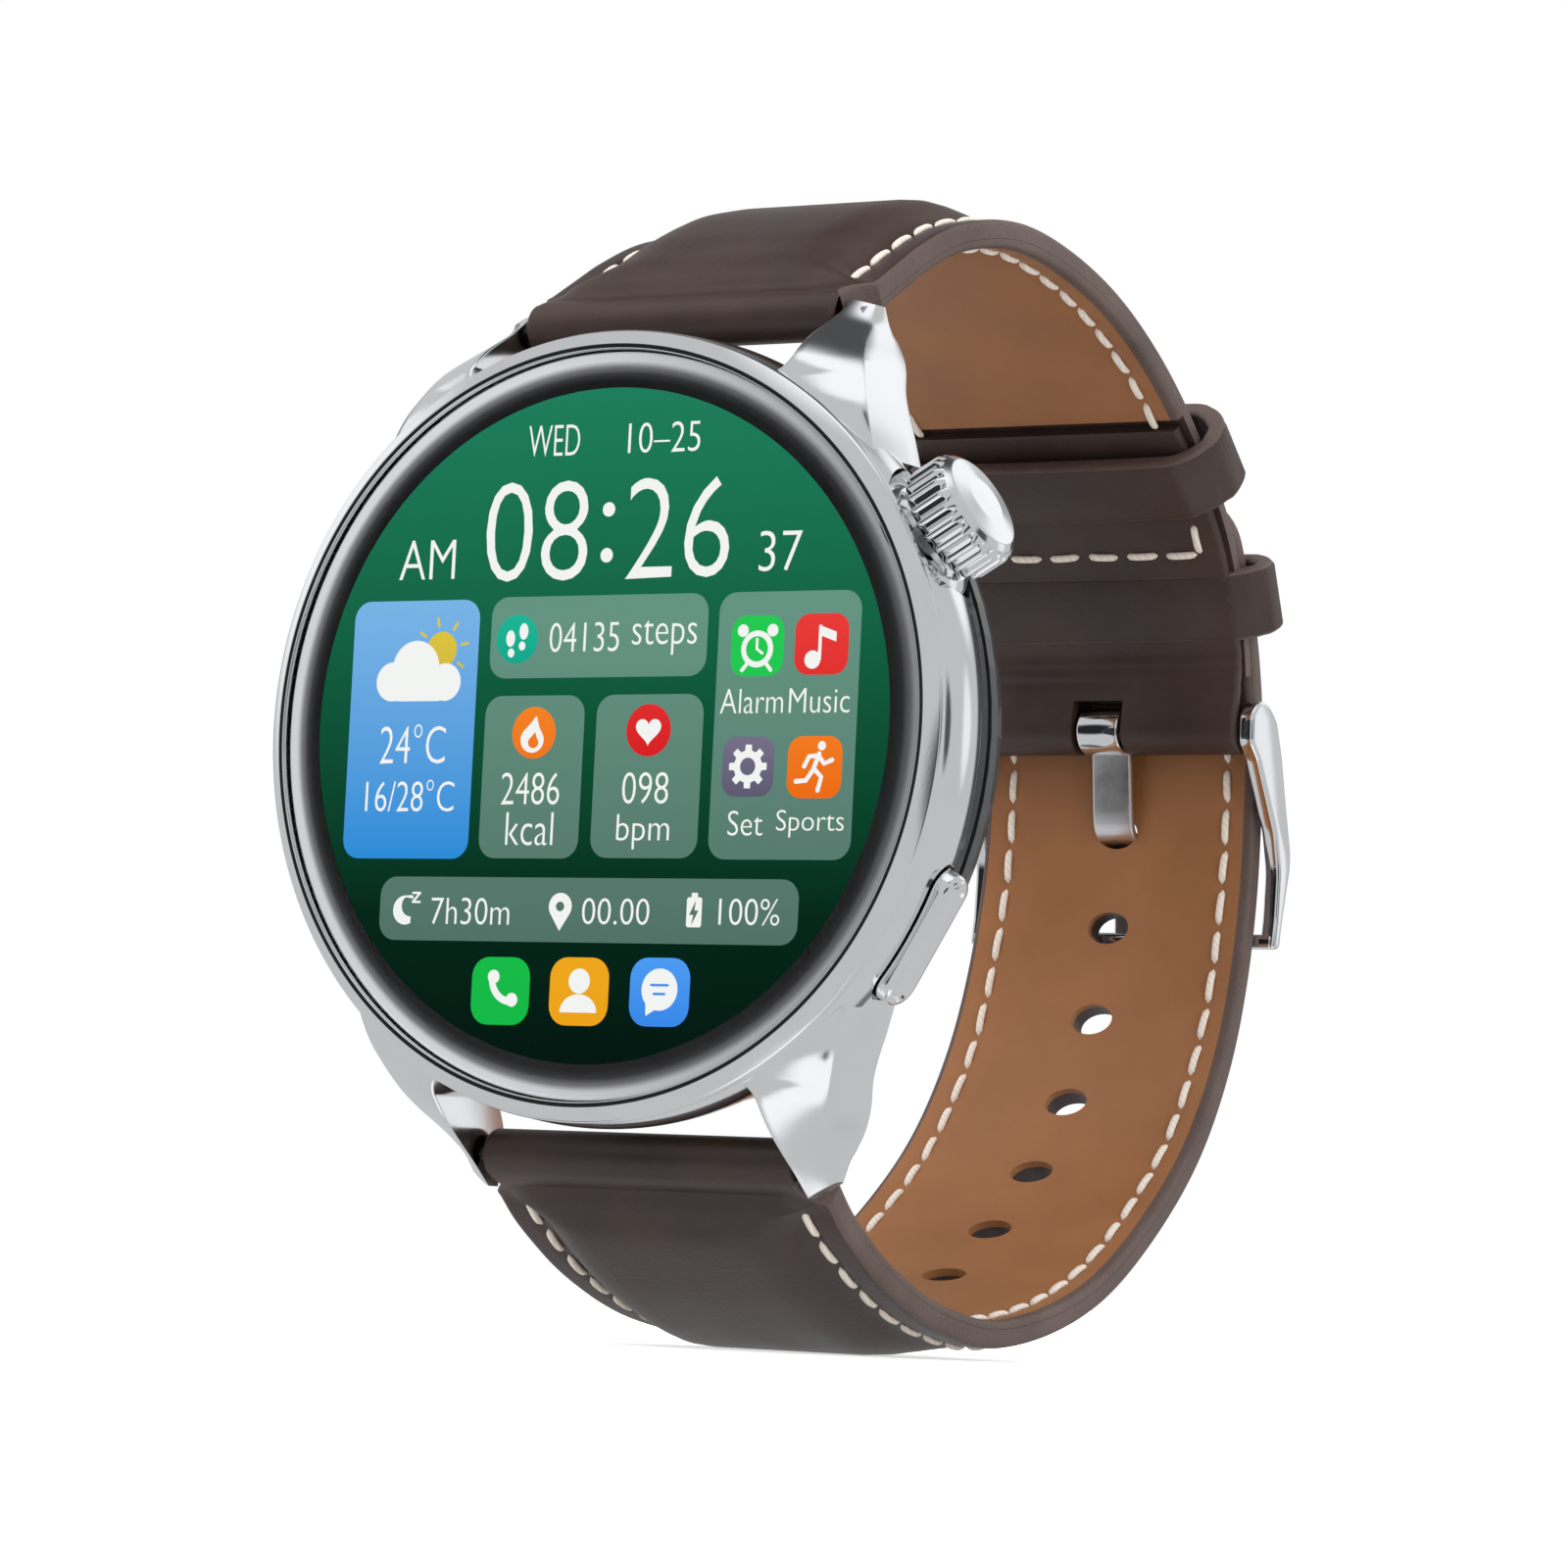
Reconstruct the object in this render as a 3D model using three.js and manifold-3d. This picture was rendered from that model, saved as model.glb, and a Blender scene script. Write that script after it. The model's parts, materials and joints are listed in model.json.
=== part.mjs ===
// A round 46 mm smartwatch on a 22 mm leather strap, buckled into its wearing loop.
//
// Frame: millimetres. +X points to 3 o'clock (the crown side), +Z to 12 o'clock and +Y out of the
// back of the watch into the wrist. Everything is laid out by depth, which is Y measured from the
// front of the glass, and the whole watch is then moved so that the origin is the centre of the
// flat face of the back window.

import * as THREE from 'three';
import { mergeVertices } from 'three/addons/utils/BufferGeometryUtils.js';
import Module from 'manifold-3d';

const wasm = await Module();
wasm.setup();

// ---- driving dimensions ----------------------------------------------------------------------

const CASE_R = 23; // case radius: a 46 mm watch
const HEAD_DEPTH = 11.5; // front of the glass to the face of the back window
const CASE_FRONT = 0.95; // depth where the mid case starts, under the bezel
const CASE_BACK = 7.2; // depth where the mid case ends
const CAVITY_R = 19.2; // bore of the mid case
const SEAT_R = 21.2; // wider bore at the front, for the bezel and the display
const SEAT_BACK = 3.2; // depth where the wide bore ends
const REBATE_R = 22.05; // shallow step at the very front, for the bezel
const GAP = 0.3; // clearance between pieces that meet

const GLASS_R = 21.5;
const GLASS_T = 0.8;
const SCREEN_R = 19.6;
const BEZEL_R = 22.95;

const BACK_R = 21.9; // back cover
const BACK_DEPTH = 10.4; // outer face of the back cover
const WINDOW_R = 12.6; // sensor window in the back cover
const WINDOW_FLAT_R = 9; // its flat outer face

const LUG_GAP = 22; // clear width between a pair of lugs
const BAR_DEPTH = 8.2; // spring bars: depth and distance from the middle
const BAR_Z = 24.5;
const BAR_R = 0.6;
const BAR_PIN_R = 0.45;

const CROWN_ANGLE = 29.5; // degrees above 3 o'clock
const CROWN_DEPTH = 4.3;
const CROWN_R = 3.45;
const CROWN_FLUTES = 28;
const CROWN_INNER = 22.75; // distances from the case's middle
const CROWN_RIM = 25.3;
const CROWN_TIP = 25.95;
const CROWN_TUBE_R = 2.3;
const STEM_R = 0.9;
const PUSH_TRAVEL = 0.4; // crown and button both press in this far

const BUTTON_ANGLE = -30.5; // degrees, below 3 o'clock
const BUTTON_DEPTH = 4.4;
const BUTTON_LENGTH = 8.4;
const BUTTON_WIDTH = 2.7;
const BUTTON_TOP = 23.75; // distance of its face from the case's middle

const EAR_HALF = 10.6; // half width of the strap between the lugs
const SHOULDER_HALF = 11.5; // half width just outside the lugs
const TIP_HALF = 10; // half width at the buckle
const TAPER_LENGTH = 78; // length of strap over which it narrows
const NOSE_R = 1.5; // rounded strap end around a spring bar
const EDGE_T = 1.8; // strap thickness at its edges
const TAIL_T = 1.5; // thickness of the free tail
const BUCKLE_END_T = 1.5; // thickness of the short strap where it is folded back
const PAD_RISE = 1.5; // how far the padding lifts the middle of the strap
const PAD_LENGTH = 42; // strap length over which the padding dies out
const LAYER_GAP = 0.16; // between the layers of one strap

const FIRST_HOLE = 35.35; // strap length from the lug to the nearest hole
const HOLE_PITCH = 6.52;
const HOLE_COUNT = 8;
const HOLE_HALF_WIDTH = 1.55;
const HOLE_HALF_LENGTH = 1.25;

const BUCKLE_BAR = [61.5, 6]; // depth and Z of the buckle's bar
const BUCKLE_BAR_R = 0.7;
const FRAME_INNER = 10.35; // half width inside the buckle frame
const FRAME_OUTER = 11.4;
const TONGUE_HALF = 1.15;
const TONGUE_T = 0.6;

// Middle of the strap's thickness at its edges, as (depth, Z) pairs from the lug to the free end.
const UPPER_PATH = [[10.5, 25.95], [13.4, 27.7], [15.7, 29.05], [20.3, 31.1], [28.3, 32.5], [38.5, 31],
  [46.4, 27.7], [52.8, 23.2], [58, 17.8], [60.9, 11.8], [61.75, 8.2]];
const LOWER_PATH = [[10.5, -26.2], [12.1, -27.6], [14.4, -29.1], [16.75, -30.4], [21.3, -32.2],
  [25.5, -33.2], [31, -33.7], [39, -32.5],
  [45.6, -30.1], [52.9, -25.3], [57.4, -21], [60.9, -15.6], [62.9, -10.3], [64, -4.8],
  [64.35, 0.2], [64.05, 6.2], [62.75, 12], [60.45, 17], [58.1, 20.6], [55.65, 23.15]];
const TAIL_START = 71.4; // strap length from the lug where the free tail begins
const FOLD_LENGTH = 23; // how far the short strap is folded back over its lining
const SLIDING_KEEPER = [0.76, 4.6]; // place along the short strap as a share of it, and width
const FIXED_KEEPER = [0.905, 4.6];

// ---- solids ----------------------------------------------------------------------------------

function signedVolume(geometry) {
  const p = geometry.attributes.position;
  const index = geometry.index;
  const [a, b, c] = [new THREE.Vector3(), new THREE.Vector3(), new THREE.Vector3()];
  let six = 0;
  for (let i = 0; i < index.count; i += 3) {
    a.fromBufferAttribute(p, index.getX(i));
    b.fromBufferAttribute(p, index.getX(i + 1));
    c.fromBufferAttribute(p, index.getX(i + 2));
    six += a.dot(b.cross(c));
  }
  return six / 6;
}

// Joins equal vertices, drops triangles without area and turns the faces outward.
function closed(geometry) {
  const bare = new THREE.BufferGeometry();
  bare.setAttribute('position', geometry.attributes.position.clone());
  if (geometry.index) bare.setIndex(geometry.index.clone());
  const merged = mergeVertices(bare, 1e-4);
  const kept = [];
  const all = merged.index.array;
  for (let i = 0; i < all.length; i += 3) {
    const [a, b, c] = [all[i], all[i + 1], all[i + 2]];
    if (a !== b && b !== c && c !== a) kept.push(a, b, c);
  }
  merged.setIndex(kept);
  if (signedVolume(merged) < 0) {
    for (let i = 0; i < kept.length; i += 3) [kept[i], kept[i + 1]] = [kept[i + 1], kept[i]];
    merged.setIndex(kept);
  }
  return merged;
}

function toManifold(geometry) {
  const tidy = closed(geometry);
  return new wasm.Manifold(new wasm.Mesh({
    numProp: 3,
    vertProperties: Float32Array.from(tidy.attributes.position.array),
    triVerts: Uint32Array.from(tidy.index.array),
  }));
}

function fromManifold(manifold) {
  const mesh = manifold.simplify(0.003).getMesh();
  const geometry = new THREE.BufferGeometry();
  geometry.setAttribute('position', new THREE.Float32BufferAttribute(mesh.vertProperties, 3));
  geometry.setIndex(Array.from(mesh.triVerts));
  return geometry;
}

function cut(geometry, ...tools) {
  let body = toManifold(geometry);
  for (const tool of tools) body = body.subtract(toManifold(tool));
  return fromManifold(body);
}

function join(geometry, ...others) {
  let body = toManifold(geometry);
  for (const other of others) body = body.add(toManifold(other));
  return fromManifold(body);
}

function common(geometry, other) {
  return fromManifold(toManifold(geometry).intersect(toManifold(other)));
}

// A ring or disc about the depth axis from [radius, depth] corners.
function turned(corners, segments = 64) {
  const profile = corners.map(([r, d]) => new THREE.Vector2(r, d));
  if (corners[0][0] > 0 || corners.at(-1)[0] > 0) profile.push(profile[0].clone());
  return closed(new THREE.LatheGeometry(profile, segments));
}

function outline(corners) {
  return new THREE.Shape(corners.map(([u, v]) => new THREE.Vector2(u, v)));
}

// An outline in the (depth, Z) plane given a thickness in X from x0 to x1.
function acrossX(shape, x0, x1, curveSegments = 12) {
  const g = new THREE.ExtrudeGeometry(shape, { depth: x1 - x0, bevelEnabled: false, curveSegments });
  // shape x -> Y, shape y -> Z, extrusion -> X
  g.applyMatrix4(new THREE.Matrix4().makeBasis(
    new THREE.Vector3(0, 1, 0), new THREE.Vector3(0, 0, 1), new THREE.Vector3(1, 0, 0)));
  return g.translate(x0, 0, 0);
}

// An outline in the (X, Z) plane given a thickness in depth from d0 to d1.
function throughDepth(shape, d0, d1, curveSegments = 12) {
  const g = new THREE.ExtrudeGeometry(shape, { depth: d1 - d0, bevelEnabled: false, curveSegments });
  g.rotateX(Math.PI / 2); // shape y -> Z, extrusion -> -Y
  return g.translate(0, d1, 0);
}

function box(x0, x1, d0, d1, z0, z1) {
  const g = new THREE.BoxGeometry(x1 - x0, d1 - d0, z1 - z0);
  return g.translate((x0 + x1) / 2, (d0 + d1) / 2, (z0 + z1) / 2);
}

function rodX(radius, x0, x1, depth, z, segments = 16) {
  const g = new THREE.CylinderGeometry(radius, radius, x1 - x0, segments);
  return g.rotateZ(Math.PI / 2).translate((x0 + x1) / 2, depth, z);
}

// A rod along local X, from distance s0 to s1, for the crown and the button.
function rod(radius, s0, s1, segments = 20) {
  return rodX(radius, s0, s1, 0, 0, segments);
}

// A round piece about local X from [radius, distance] corners.
function turnedX(corners, segments = 32) {
  return turned(corners, segments).rotateZ(-Math.PI / 2);
}

function slot(length, width) {
  const r = width / 2;
  const half = length / 2 - r;
  const shape = new THREE.Shape();
  shape.absarc(half, 0, r, -Math.PI / 2, Math.PI / 2);
  shape.absarc(-half, 0, r, Math.PI / 2, (3 * Math.PI) / 2);
  return shape;
}

// A slot-shaped bar along local X, long in local Z.
function slotX(length, width, s0, s1) {
  const shape = slot(length, width);
  const g = new THREE.ExtrudeGeometry(shape, { depth: s1 - s0, bevelEnabled: false, curveSegments: 8 });
  g.applyMatrix4(new THREE.Matrix4().makeBasis(
    new THREE.Vector3(0, 0, 1), new THREE.Vector3(0, -1, 0), new THREE.Vector3(1, 0, 0)));
  return g.translate(s0, 0, 0);
}

// ---- materials and the scene graph -----------------------------------------------------------

const FINISHES = {
  steel: [0xd9dbde, 0.12, 1],
  darkSteel: [0x8c8f94, 0.3, 1],
  glass: [0x0a0c0c, 0.04, 0],
  screen: [0x10603f, 0.25, 0],
  leather: [0x4b413b, 0.55, 0],
  lining: [0x96673f, 0.6, 0],
  edge: [0x73645f, 0.7, 0],
  padding: [0xb9a890, 0.95, 0],
  board: [0x14532f, 0.6, 0],
  black: [0x1a1b1c, 0.5, 0],
  silver: [0xb8bbbd, 0.4, 0.8],
  gold: [0xd8b45a, 0.3, 1],
  rubber: [0x202020, 0.9, 0],
  backCover: [0x232526, 0.35, 0],
  window: [0x101214, 0.08, 0],
};

const watch = new THREE.Group();
watch.position.y = -HEAD_DEPTH;

function place(parent, name, geometry, finish) {
  const [color, roughness, metalness] = FINISHES[finish];
  const material = new THREE.MeshStandardMaterial({ color, roughness, metalness });
  const tidy = closed(geometry);
  tidy.computeVertexNormals();
  const mesh = new THREE.Mesh(tidy, material);
  mesh.name = name;
  parent.add(mesh);
  return mesh;
}

// A group whose local +X points from the case's middle out through its side.
function sideGroup(degrees, depth) {
  const group = new THREE.Group();
  group.position.y = depth;
  group.rotation.y = -THREE.MathUtils.degToRad(degrees);
  watch.add(group);
  return group;
}

function inSideFrame(geometry, degrees, depth) {
  return geometry.rotateY(-THREE.MathUtils.degToRad(degrees)).translate(0, depth, 0);
}

// ---- watch head ------------------------------------------------------------------------------

// Sections of a lug across the strap, at growing distances from the middle: distance, depth of the
// front at the inner face, half width and depth of its outer crease, depth of the underside.
const LUG_SECTIONS = [[10, CASE_FRONT, 19.4, 1.4, 7.1], [16, CASE_FRONT, 16.7, 1.9, 7.1],
  [18, CASE_FRONT, 16, 2.3, 7.1], [19.5, 1.15, 15.35, 2.85, 7.3], [21, 1.8, 14.65, 3.85, 8.15],
  [22, 2.6, 14.2, 4.7, 8.75], [23, 3.65, 13.75, 5.7, 9.15], [24, 4.95, 13.3, 6.9, 9.45],
  [25, 6.35, 12.9, 8.3, 9.6], [26.6, 8.4, 12.4, 9.2, 9.75]];
// The slanted end of a lug, seen from the front.
const LUG_END = [[LUG_GAP / 2, 9], [24, 9], [24, 19], [13.1, 25.2], [LUG_GAP / 2, 26.4]];

function lug(signX, signZ) {
  const inner = LUG_GAP / 2;
  const rings = LUG_SECTIONS.map(([z, front, creaseX, creaseDepth, under]) => [
    [inner, front], [inner, under], [creaseX, under], [creaseX + 0.1, (creaseDepth + under) / 2],
    [creaseX, creaseDepth]].map(([x, d]) => new THREE.Vector3(x, d, z)));
  const end = throughDepth(outline(LUG_END), 0, HEAD_DEPTH);
  const pinHole = rodX(BAR_PIN_R + 0.2, inner - 1, inner + 1.4, BAR_DEPTH, BAR_Z, 12);
  return cut(common(loft(rings), end), pinHole).scale(signX, 1, signZ);
}

function midCase() {
  const wall = turned([[0, CASE_FRONT], [BEZEL_R - 0.05, CASE_FRONT], [CASE_R, 2.2], [CASE_R, 4.6],
    [22.75, 6.2], [22.3, CASE_BACK], [0, CASE_BACK]], 96);
  const whole = join(wall, lug(1, 1), lug(-1, 1), lug(1, -1), lug(-1, -1));
  const seat = turned([[0, 0], [SEAT_R, 0], [SEAT_R, SEAT_BACK], [0, SEAT_BACK]], 64);
  const rebate = turned([[0, 0], [REBATE_R, 0], [REBATE_R, 1.5], [0, 1.5]], 80);
  const cavity = turned([[0, 1], [CAVITY_R, 1], [CAVITY_R, 9], [0, 9]], 64);
  const crownSeat = inSideFrame(turnedX([[0, 21.3], [3.9, 21.3], [4.1, 22], [4.6, 26], [0, 26]]),
    CROWN_ANGLE, CROWN_DEPTH);
  const crownBore = inSideFrame(rod(CROWN_TUBE_R + GAP, 17, 24, 24), CROWN_ANGLE, CROWN_DEPTH);
  const buttonPocket = inSideFrame(
    slotX(BUTTON_LENGTH + 2 * GAP, BUTTON_WIDTH + 2 * GAP, 21.2, 26), BUTTON_ANGLE, BUTTON_DEPTH);
  const buttonBore = inSideFrame(rod(0.9, 17, 22, 16), BUTTON_ANGLE, BUTTON_DEPTH);
  const screws = SCREW_ANGLES.map((a) => screwHole(a, 4.5, HEAD_DEPTH, 0.7 + GAP));
  return cut(whole, rebate, seat, cavity, crownSeat, crownBore, buttonPocket, buttonBore, ...screws);
}

function bezelRing() {
  return turned([[GLASS_R + 0.2, 0], [22, 0], [BEZEL_R, 0.5], [BEZEL_R, 0.7], [REBATE_R - 0.2, 0.7],
    [REBATE_R - 0.2, 1.3], [20.9, 1.3], [20.9, 1.7], [20.2, 1.7], [20.2, 0.9], [GLASS_R + 0.2, 0.9]], 80);
}

// Rounded cover glass: flat over the screen, falling away over its last two millimetres.
function coverGlass() {
  return turned([[0, 0], [SCREEN_R + 0.4, 0], [20.7, 0.06], [21.2, 0.2], [GLASS_R, 0.42],
    [GLASS_R, 0.55], [GLASS_R - 0.9, GLASS_T], [0, GLASS_T]], 72);
}

function ringPiece(inner, outer, front, back, segments = 48) {
  return turned([[inner, front], [outer, front], [outer, back], [inner, back]], segments);
}

function disc(radius, front, back, segments = 48) {
  return turned([[0, front], [radius, front], [radius, back], [0, back]], segments);
}

function displayCarrier() {
  const ring = ringPiece(12.6, 18.9, 2.9, 4);
  return cut(ring, sideWindow(CROWN_ANGLE), sideWindow(BUTTON_ANGLE), box(-4, 4, 2, 5, -21, -15));
}

// Room for the crown's or the button's switch.
function sideWindow(degrees) {
  return inSideFrame(box(14.4, 22, -3, 3, -2.5, 2.5), degrees, CROWN_DEPTH);
}

function mainBoard() {
  const edge = new THREE.Shape();
  edge.absarc(0, 0, 18.4, 0, 2 * Math.PI);
  const slab = throughDepth(edge, 4.3, 5, 20);
  const batteryWindow = box(-13, 8, 3, 6, -8, 9);
  return cut(slab, batteryWindow, sideWindow(CROWN_ANGLE), sideWindow(BUTTON_ANGLE));
}

function roundedBlock(x0, x1, z0, z1, d0, d1, r) {
  const shape = new THREE.Shape();
  shape.absarc(x1 - r, z1 - r, r, 0, Math.PI / 2);
  shape.absarc(x0 + r, z1 - r, r, Math.PI / 2, Math.PI);
  shape.absarc(x0 + r, z0 + r, r, Math.PI, 1.5 * Math.PI);
  shape.absarc(x1 - r, z0 + r, r, 1.5 * Math.PI, 2 * Math.PI);
  return throughDepth(shape, d0, d1, 5);
}

const SCREW_ANGLES = [54, 126, 234, 306];
const SCREW_R = 20.55;

function screwHole(degrees, d0, d1, radius) {
  const a = THREE.MathUtils.degToRad(degrees);
  const g = new THREE.CylinderGeometry(radius, radius, d1 - d0, 14);
  return g.translate(SCREW_R * Math.cos(a), (d0 + d1) / 2, SCREW_R * Math.sin(a));
}

// Back cover: a shallow dish with a spigot that centres it in the mid case.
function backCover() {
  const dish = turned([[17.1, 6.6], [17.9, 6.6], [17.9, CASE_BACK + GAP], [22, CASE_BACK + GAP],
    [BACK_R, 8.4], [21.5, 9.5], [20.4, 10.2], [19.4, BACK_DEPTH], [WINDOW_R + GAP, BACK_DEPTH],
    [WINDOW_R + GAP, 9.9], [11.6, 9.9], [11.6, 9.3], [17.1, 9.1]], 72);
  const heads = SCREW_ANGLES.map((a) => screwHole(a, 8.9, HEAD_DEPTH, 1.15 + 0.2));
  const shanks = SCREW_ANGLES.map((a) => screwHole(a, 6, 10, 0.7 + 0.2));
  const pins = [-1, 1].map((s) => chargingPin(s, 8, HEAD_DEPTH, 1));
  return cut(dish, ...heads, ...shanks, ...pins);
}

function backScrew(degrees) {
  const a = THREE.MathUtils.degToRad(degrees);
  const head = new THREE.CylinderGeometry(1.1, 1.1, 0.8, 16).translate(0, 9.65, 0);
  const shank = new THREE.CylinderGeometry(0.62, 0.62, 4.6, 12).translate(0, 7.1, 0);
  const crossA = box(-0.65, 0.65, 9.75, 10.3, -0.14, 0.14);
  const crossB = box(-0.14, 0.14, 9.75, 10.3, -0.65, 0.65);
  const screw = cut(join(head, shank), crossA, crossB);
  return screw.translate(SCREW_R * Math.cos(a), 0, SCREW_R * Math.sin(a));
}

// Charging contacts sit either side of 12 o'clock on the back cover.
function chargingPin(side, d0, d1, radius) {
  const g = new THREE.CylinderGeometry(radius, radius, d1 - d0, 16);
  return g.translate(2 * side, (d0 + d1) / 2, 15.6);
}

function sensorWindow() {
  return turned([[0, 10.2], [WINDOW_R, 10.2], [WINDOW_R, 10.6], [11.4, 11.1], [10.2, 11.4],
    [WINDOW_FLAT_R, HEAD_DEPTH], [0, HEAD_DEPTH]], 56);
}

function sensorBoard() {
  const board = disc(10.8, 8.7, 9.3, 36);
  const led = box(-1.3, 1.3, 9.2, 9.8, -1.3, 1.3);
  const diodes = [45, 135, 225, 315].map((degrees) => {
    const a = THREE.MathUtils.degToRad(degrees);
    return box(-1.2, 1.2, 9.2, 9.8, -1.2, 1.2).translate(6 * Math.cos(a), 0, 6 * Math.sin(a));
  });
  return join(board, led, ...diodes);
}

function springBar(signZ) {
  const sleeve = rodX(BAR_R, -EAR_HALF + 0.2, EAR_HALF - 0.2, BAR_DEPTH, signZ * BAR_Z, 16);
  const pin = rodX(BAR_PIN_R, -LUG_GAP / 2 - 1.1, LUG_GAP / 2 + 1.1, BAR_DEPTH, signZ * BAR_Z, 12);
  return join(sleeve, pin);
}

function buildHead() {
  place(watch, 'mid_case', midCase(), 'steel');
  place(watch, 'bezel_ring', bezelRing(), 'steel');
  place(watch, 'cover_glass', coverGlass(), 'glass');
  place(watch, 'glass_gasket', ringPiece(19.2, 20, GLASS_T + 0.2, 1.5), 'rubber');
  place(watch, 'display_panel', disc(18.8, GLASS_T + 0.2, 2.6), 'screen');
  place(watch, 'display_carrier', displayCarrier(), 'black');
  place(watch, 'main_board', mainBoard(), 'board');
  place(watch, 'shield_can', roundedBlock(-8, 8, 10, 15.5, 5.2, 6.4, 0.5), 'silver');
  place(watch, 'battery', roundedBlock(-12.4, 7.4, -7.4, 8.4, 4.4, 8.2, 1.5), 'silver');
  place(watch, 'vibration_motor', disc(4, 5.3, 7.9, 28).translate(2.4, 0, -12.2), 'silver');
  place(watch, 'speaker', roundedBlock(-10.6, -3, -12.8, -8, 5.3, 7.7, 1), 'black');
  place(watch, 'microphone', roundedBlock(-13.8, -11.4, 9, 12, 5.3, 6.2, 0.4), 'silver');
  place(watch, 'back_gasket', turned(ringSection(18.55, 6.9, 0.32), 48), 'rubber');
  place(watch, 'back_cover', backCover(), 'backCover');
  place(watch, 'sensor_board', sensorBoard(), 'board');
  place(watch, 'sensor_window', sensorWindow(), 'window');
  SCREW_ANGLES.forEach((a, i) => place(watch, `back_screw_${i + 1}`, backScrew(a), 'darkSteel'));
  place(watch, 'charging_pin_left', chargingPin(-1, 8.8, 10.55, 0.8), 'gold');
  place(watch, 'charging_pin_right', chargingPin(1, 8.8, 10.55, 0.8), 'gold');
  place(watch, 'upper_spring_bar', springBar(1), 'darkSteel');
  place(watch, 'lower_spring_bar', springBar(-1), 'darkSteel');
}

// Corners of a small round section about (radius, depth).
function ringSection(radius, depth, r, count = 8) {
  return Array.from({ length: count }, (_, i) => {
    const a = (2 * Math.PI * i) / count;
    return [radius + r * Math.cos(a), depth + r * Math.sin(a)];
  });
}

// ---- crown and button ------------------------------------------------------------------------

function crownCap() {
  const star = new THREE.Shape();
  for (let i = 0; i < 2 * CROWN_FLUTES; i += 1) {
    const a = (Math.PI * i) / CROWN_FLUTES;
    const r = i % 2 ? CROWN_R - 0.28 : CROWN_R;
    if (i) star.lineTo(r * Math.cos(a), r * Math.sin(a));
    else star.moveTo(r, 0);
  }
  const rim = new THREE.ExtrudeGeometry(star, { depth: CROWN_RIM - CROWN_INNER, bevelEnabled: false });
  rim.rotateY(Math.PI / 2).translate(CROWN_INNER, 0, 0);
  const dome = turnedX([[0, CROWN_RIM - 0.4], [CROWN_R - 0.35, CROWN_RIM - 0.4],
    [CROWN_R - 0.35, CROWN_RIM + 0.1], [2.6, 25.62], [1.5, 25.85], [0, CROWN_TIP]], 28);
  const socket = rod(STEM_R + GAP, CROWN_INNER - 1, 24.2, 16);
  return cut(join(rim, dome), socket);
}

function buildCrown() {
  const side = sideGroup(CROWN_ANGLE, CROWN_DEPTH);
  place(side, 'crown_cap', crownCap(), 'steel');
  const stem = join(rod(STEM_R, 17.5, 23.9, 16), rod(STEM_R + 0.2, 17.5, 18, 16));
  const grooves = [ringPiece(0.65, 3, 20.4, 20.95, 24), ringPiece(0.6, 3, 18.1, 18.7, 24)];
  grooves.forEach((g) => g.rotateZ(-Math.PI / 2));
  place(side, 'crown_stem', cut(stem, ...grooves), 'darkSteel');
  place(side, 'crown_o_ring', turnedX(ringSection(0.98, 20.68, 0.22), 24), 'rubber');
  place(side, 'crown_clip', ringPiece(0.85, 1.6, 18.25, 18.55, 24).rotateZ(-Math.PI / 2), 'darkSteel');
  const tube = turnedX([[1.25, 19.4], [CROWN_TUBE_R, 19.4], [CROWN_TUBE_R, 22.3], [1.25, 22.3]], 28);
  place(side, 'crown_tube', tube, 'steel');
  place(side, 'crown_switch', sideSwitch(), 'black');
}

// A tact switch: its body, and the plunger that the stem presses.
function sideSwitch() {
  return join(box(14.9, 16.4, -1.5, 1.5, -1.9, 1.9), rod(0.8, 16.2, 17.5 - PUSH_TRAVEL - 0.05, 16));
}

function buildButton() {
  const side = sideGroup(BUTTON_ANGLE, BUTTON_DEPTH);
  const body = slotX(BUTTON_LENGTH, BUTTON_WIDTH, 21.7, 23.35);
  const rim = slotX(BUTTON_LENGTH - 0.5, BUTTON_WIDTH - 0.5, 23.3, BUTTON_TOP);
  const socket = rod(0.6 + 0.25, 21, 22.6, 14);
  place(side, 'button_cap', cut(join(body, rim), socket), 'steel');
  const stem = join(rod(0.6, 17.5, 22.3, 14), rod(0.8, 17.5, 17.9, 14));
  const grooves = [ringPiece(0.4, 2, 20, 20.5, 20), ringPiece(0.4, 2, 18, 18.5, 20)];
  grooves.forEach((g) => g.rotateZ(-Math.PI / 2));
  place(side, 'button_stem', cut(stem, ...grooves), 'darkSteel');
  place(side, 'button_o_ring', turnedX(ringSection(0.66, 20.25, 0.18), 20), 'rubber');
  place(side, 'button_clip', ringPiece(0.6, 1.4, 18.1, 18.4, 20).rotateZ(-Math.PI / 2), 'darkSteel');
  place(side, 'button_switch', sideSwitch(), 'black');
}

// ---- strap -----------------------------------------------------------------------------------

// A strap path as a curve in the (depth, Z) plane, with its outward side worked out.
class StrapPath {
  constructor(points, outward) {
    this.curve = new THREE.CatmullRomCurve3(points.map(([d, z]) => new THREE.Vector3(0, d, z)),
      false, 'centripetal');
    this.curve.arcLengthDivisions = 400;
    this.length = this.curve.getLength();
    this.outward = outward;
  }

  // Point and outward normal at a share u of the length.
  at(u) {
    const point = this.curve.getPointAt(u);
    const along = this.curve.getTangentAt(u);
    const normal = new THREE.Vector3(0, -along.z, along.y).multiplyScalar(this.outward);
    return { point, along, normal, s: u * this.length };
  }
}

const upperPath = new StrapPath(UPPER_PATH, 1);
const lowerPath = new StrapPath(LOWER_PATH, -1);

function halfWidth(s) {
  return THREE.MathUtils.lerp(SHOULDER_HALF, TIP_HALF, Math.min(s / TAPER_LENGTH, 1));
}

function padding(s) {
  return PAD_RISE * (1 - THREE.MathUtils.smoothstep(s, PAD_LENGTH * 0.45, PAD_LENGTH));
}

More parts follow.
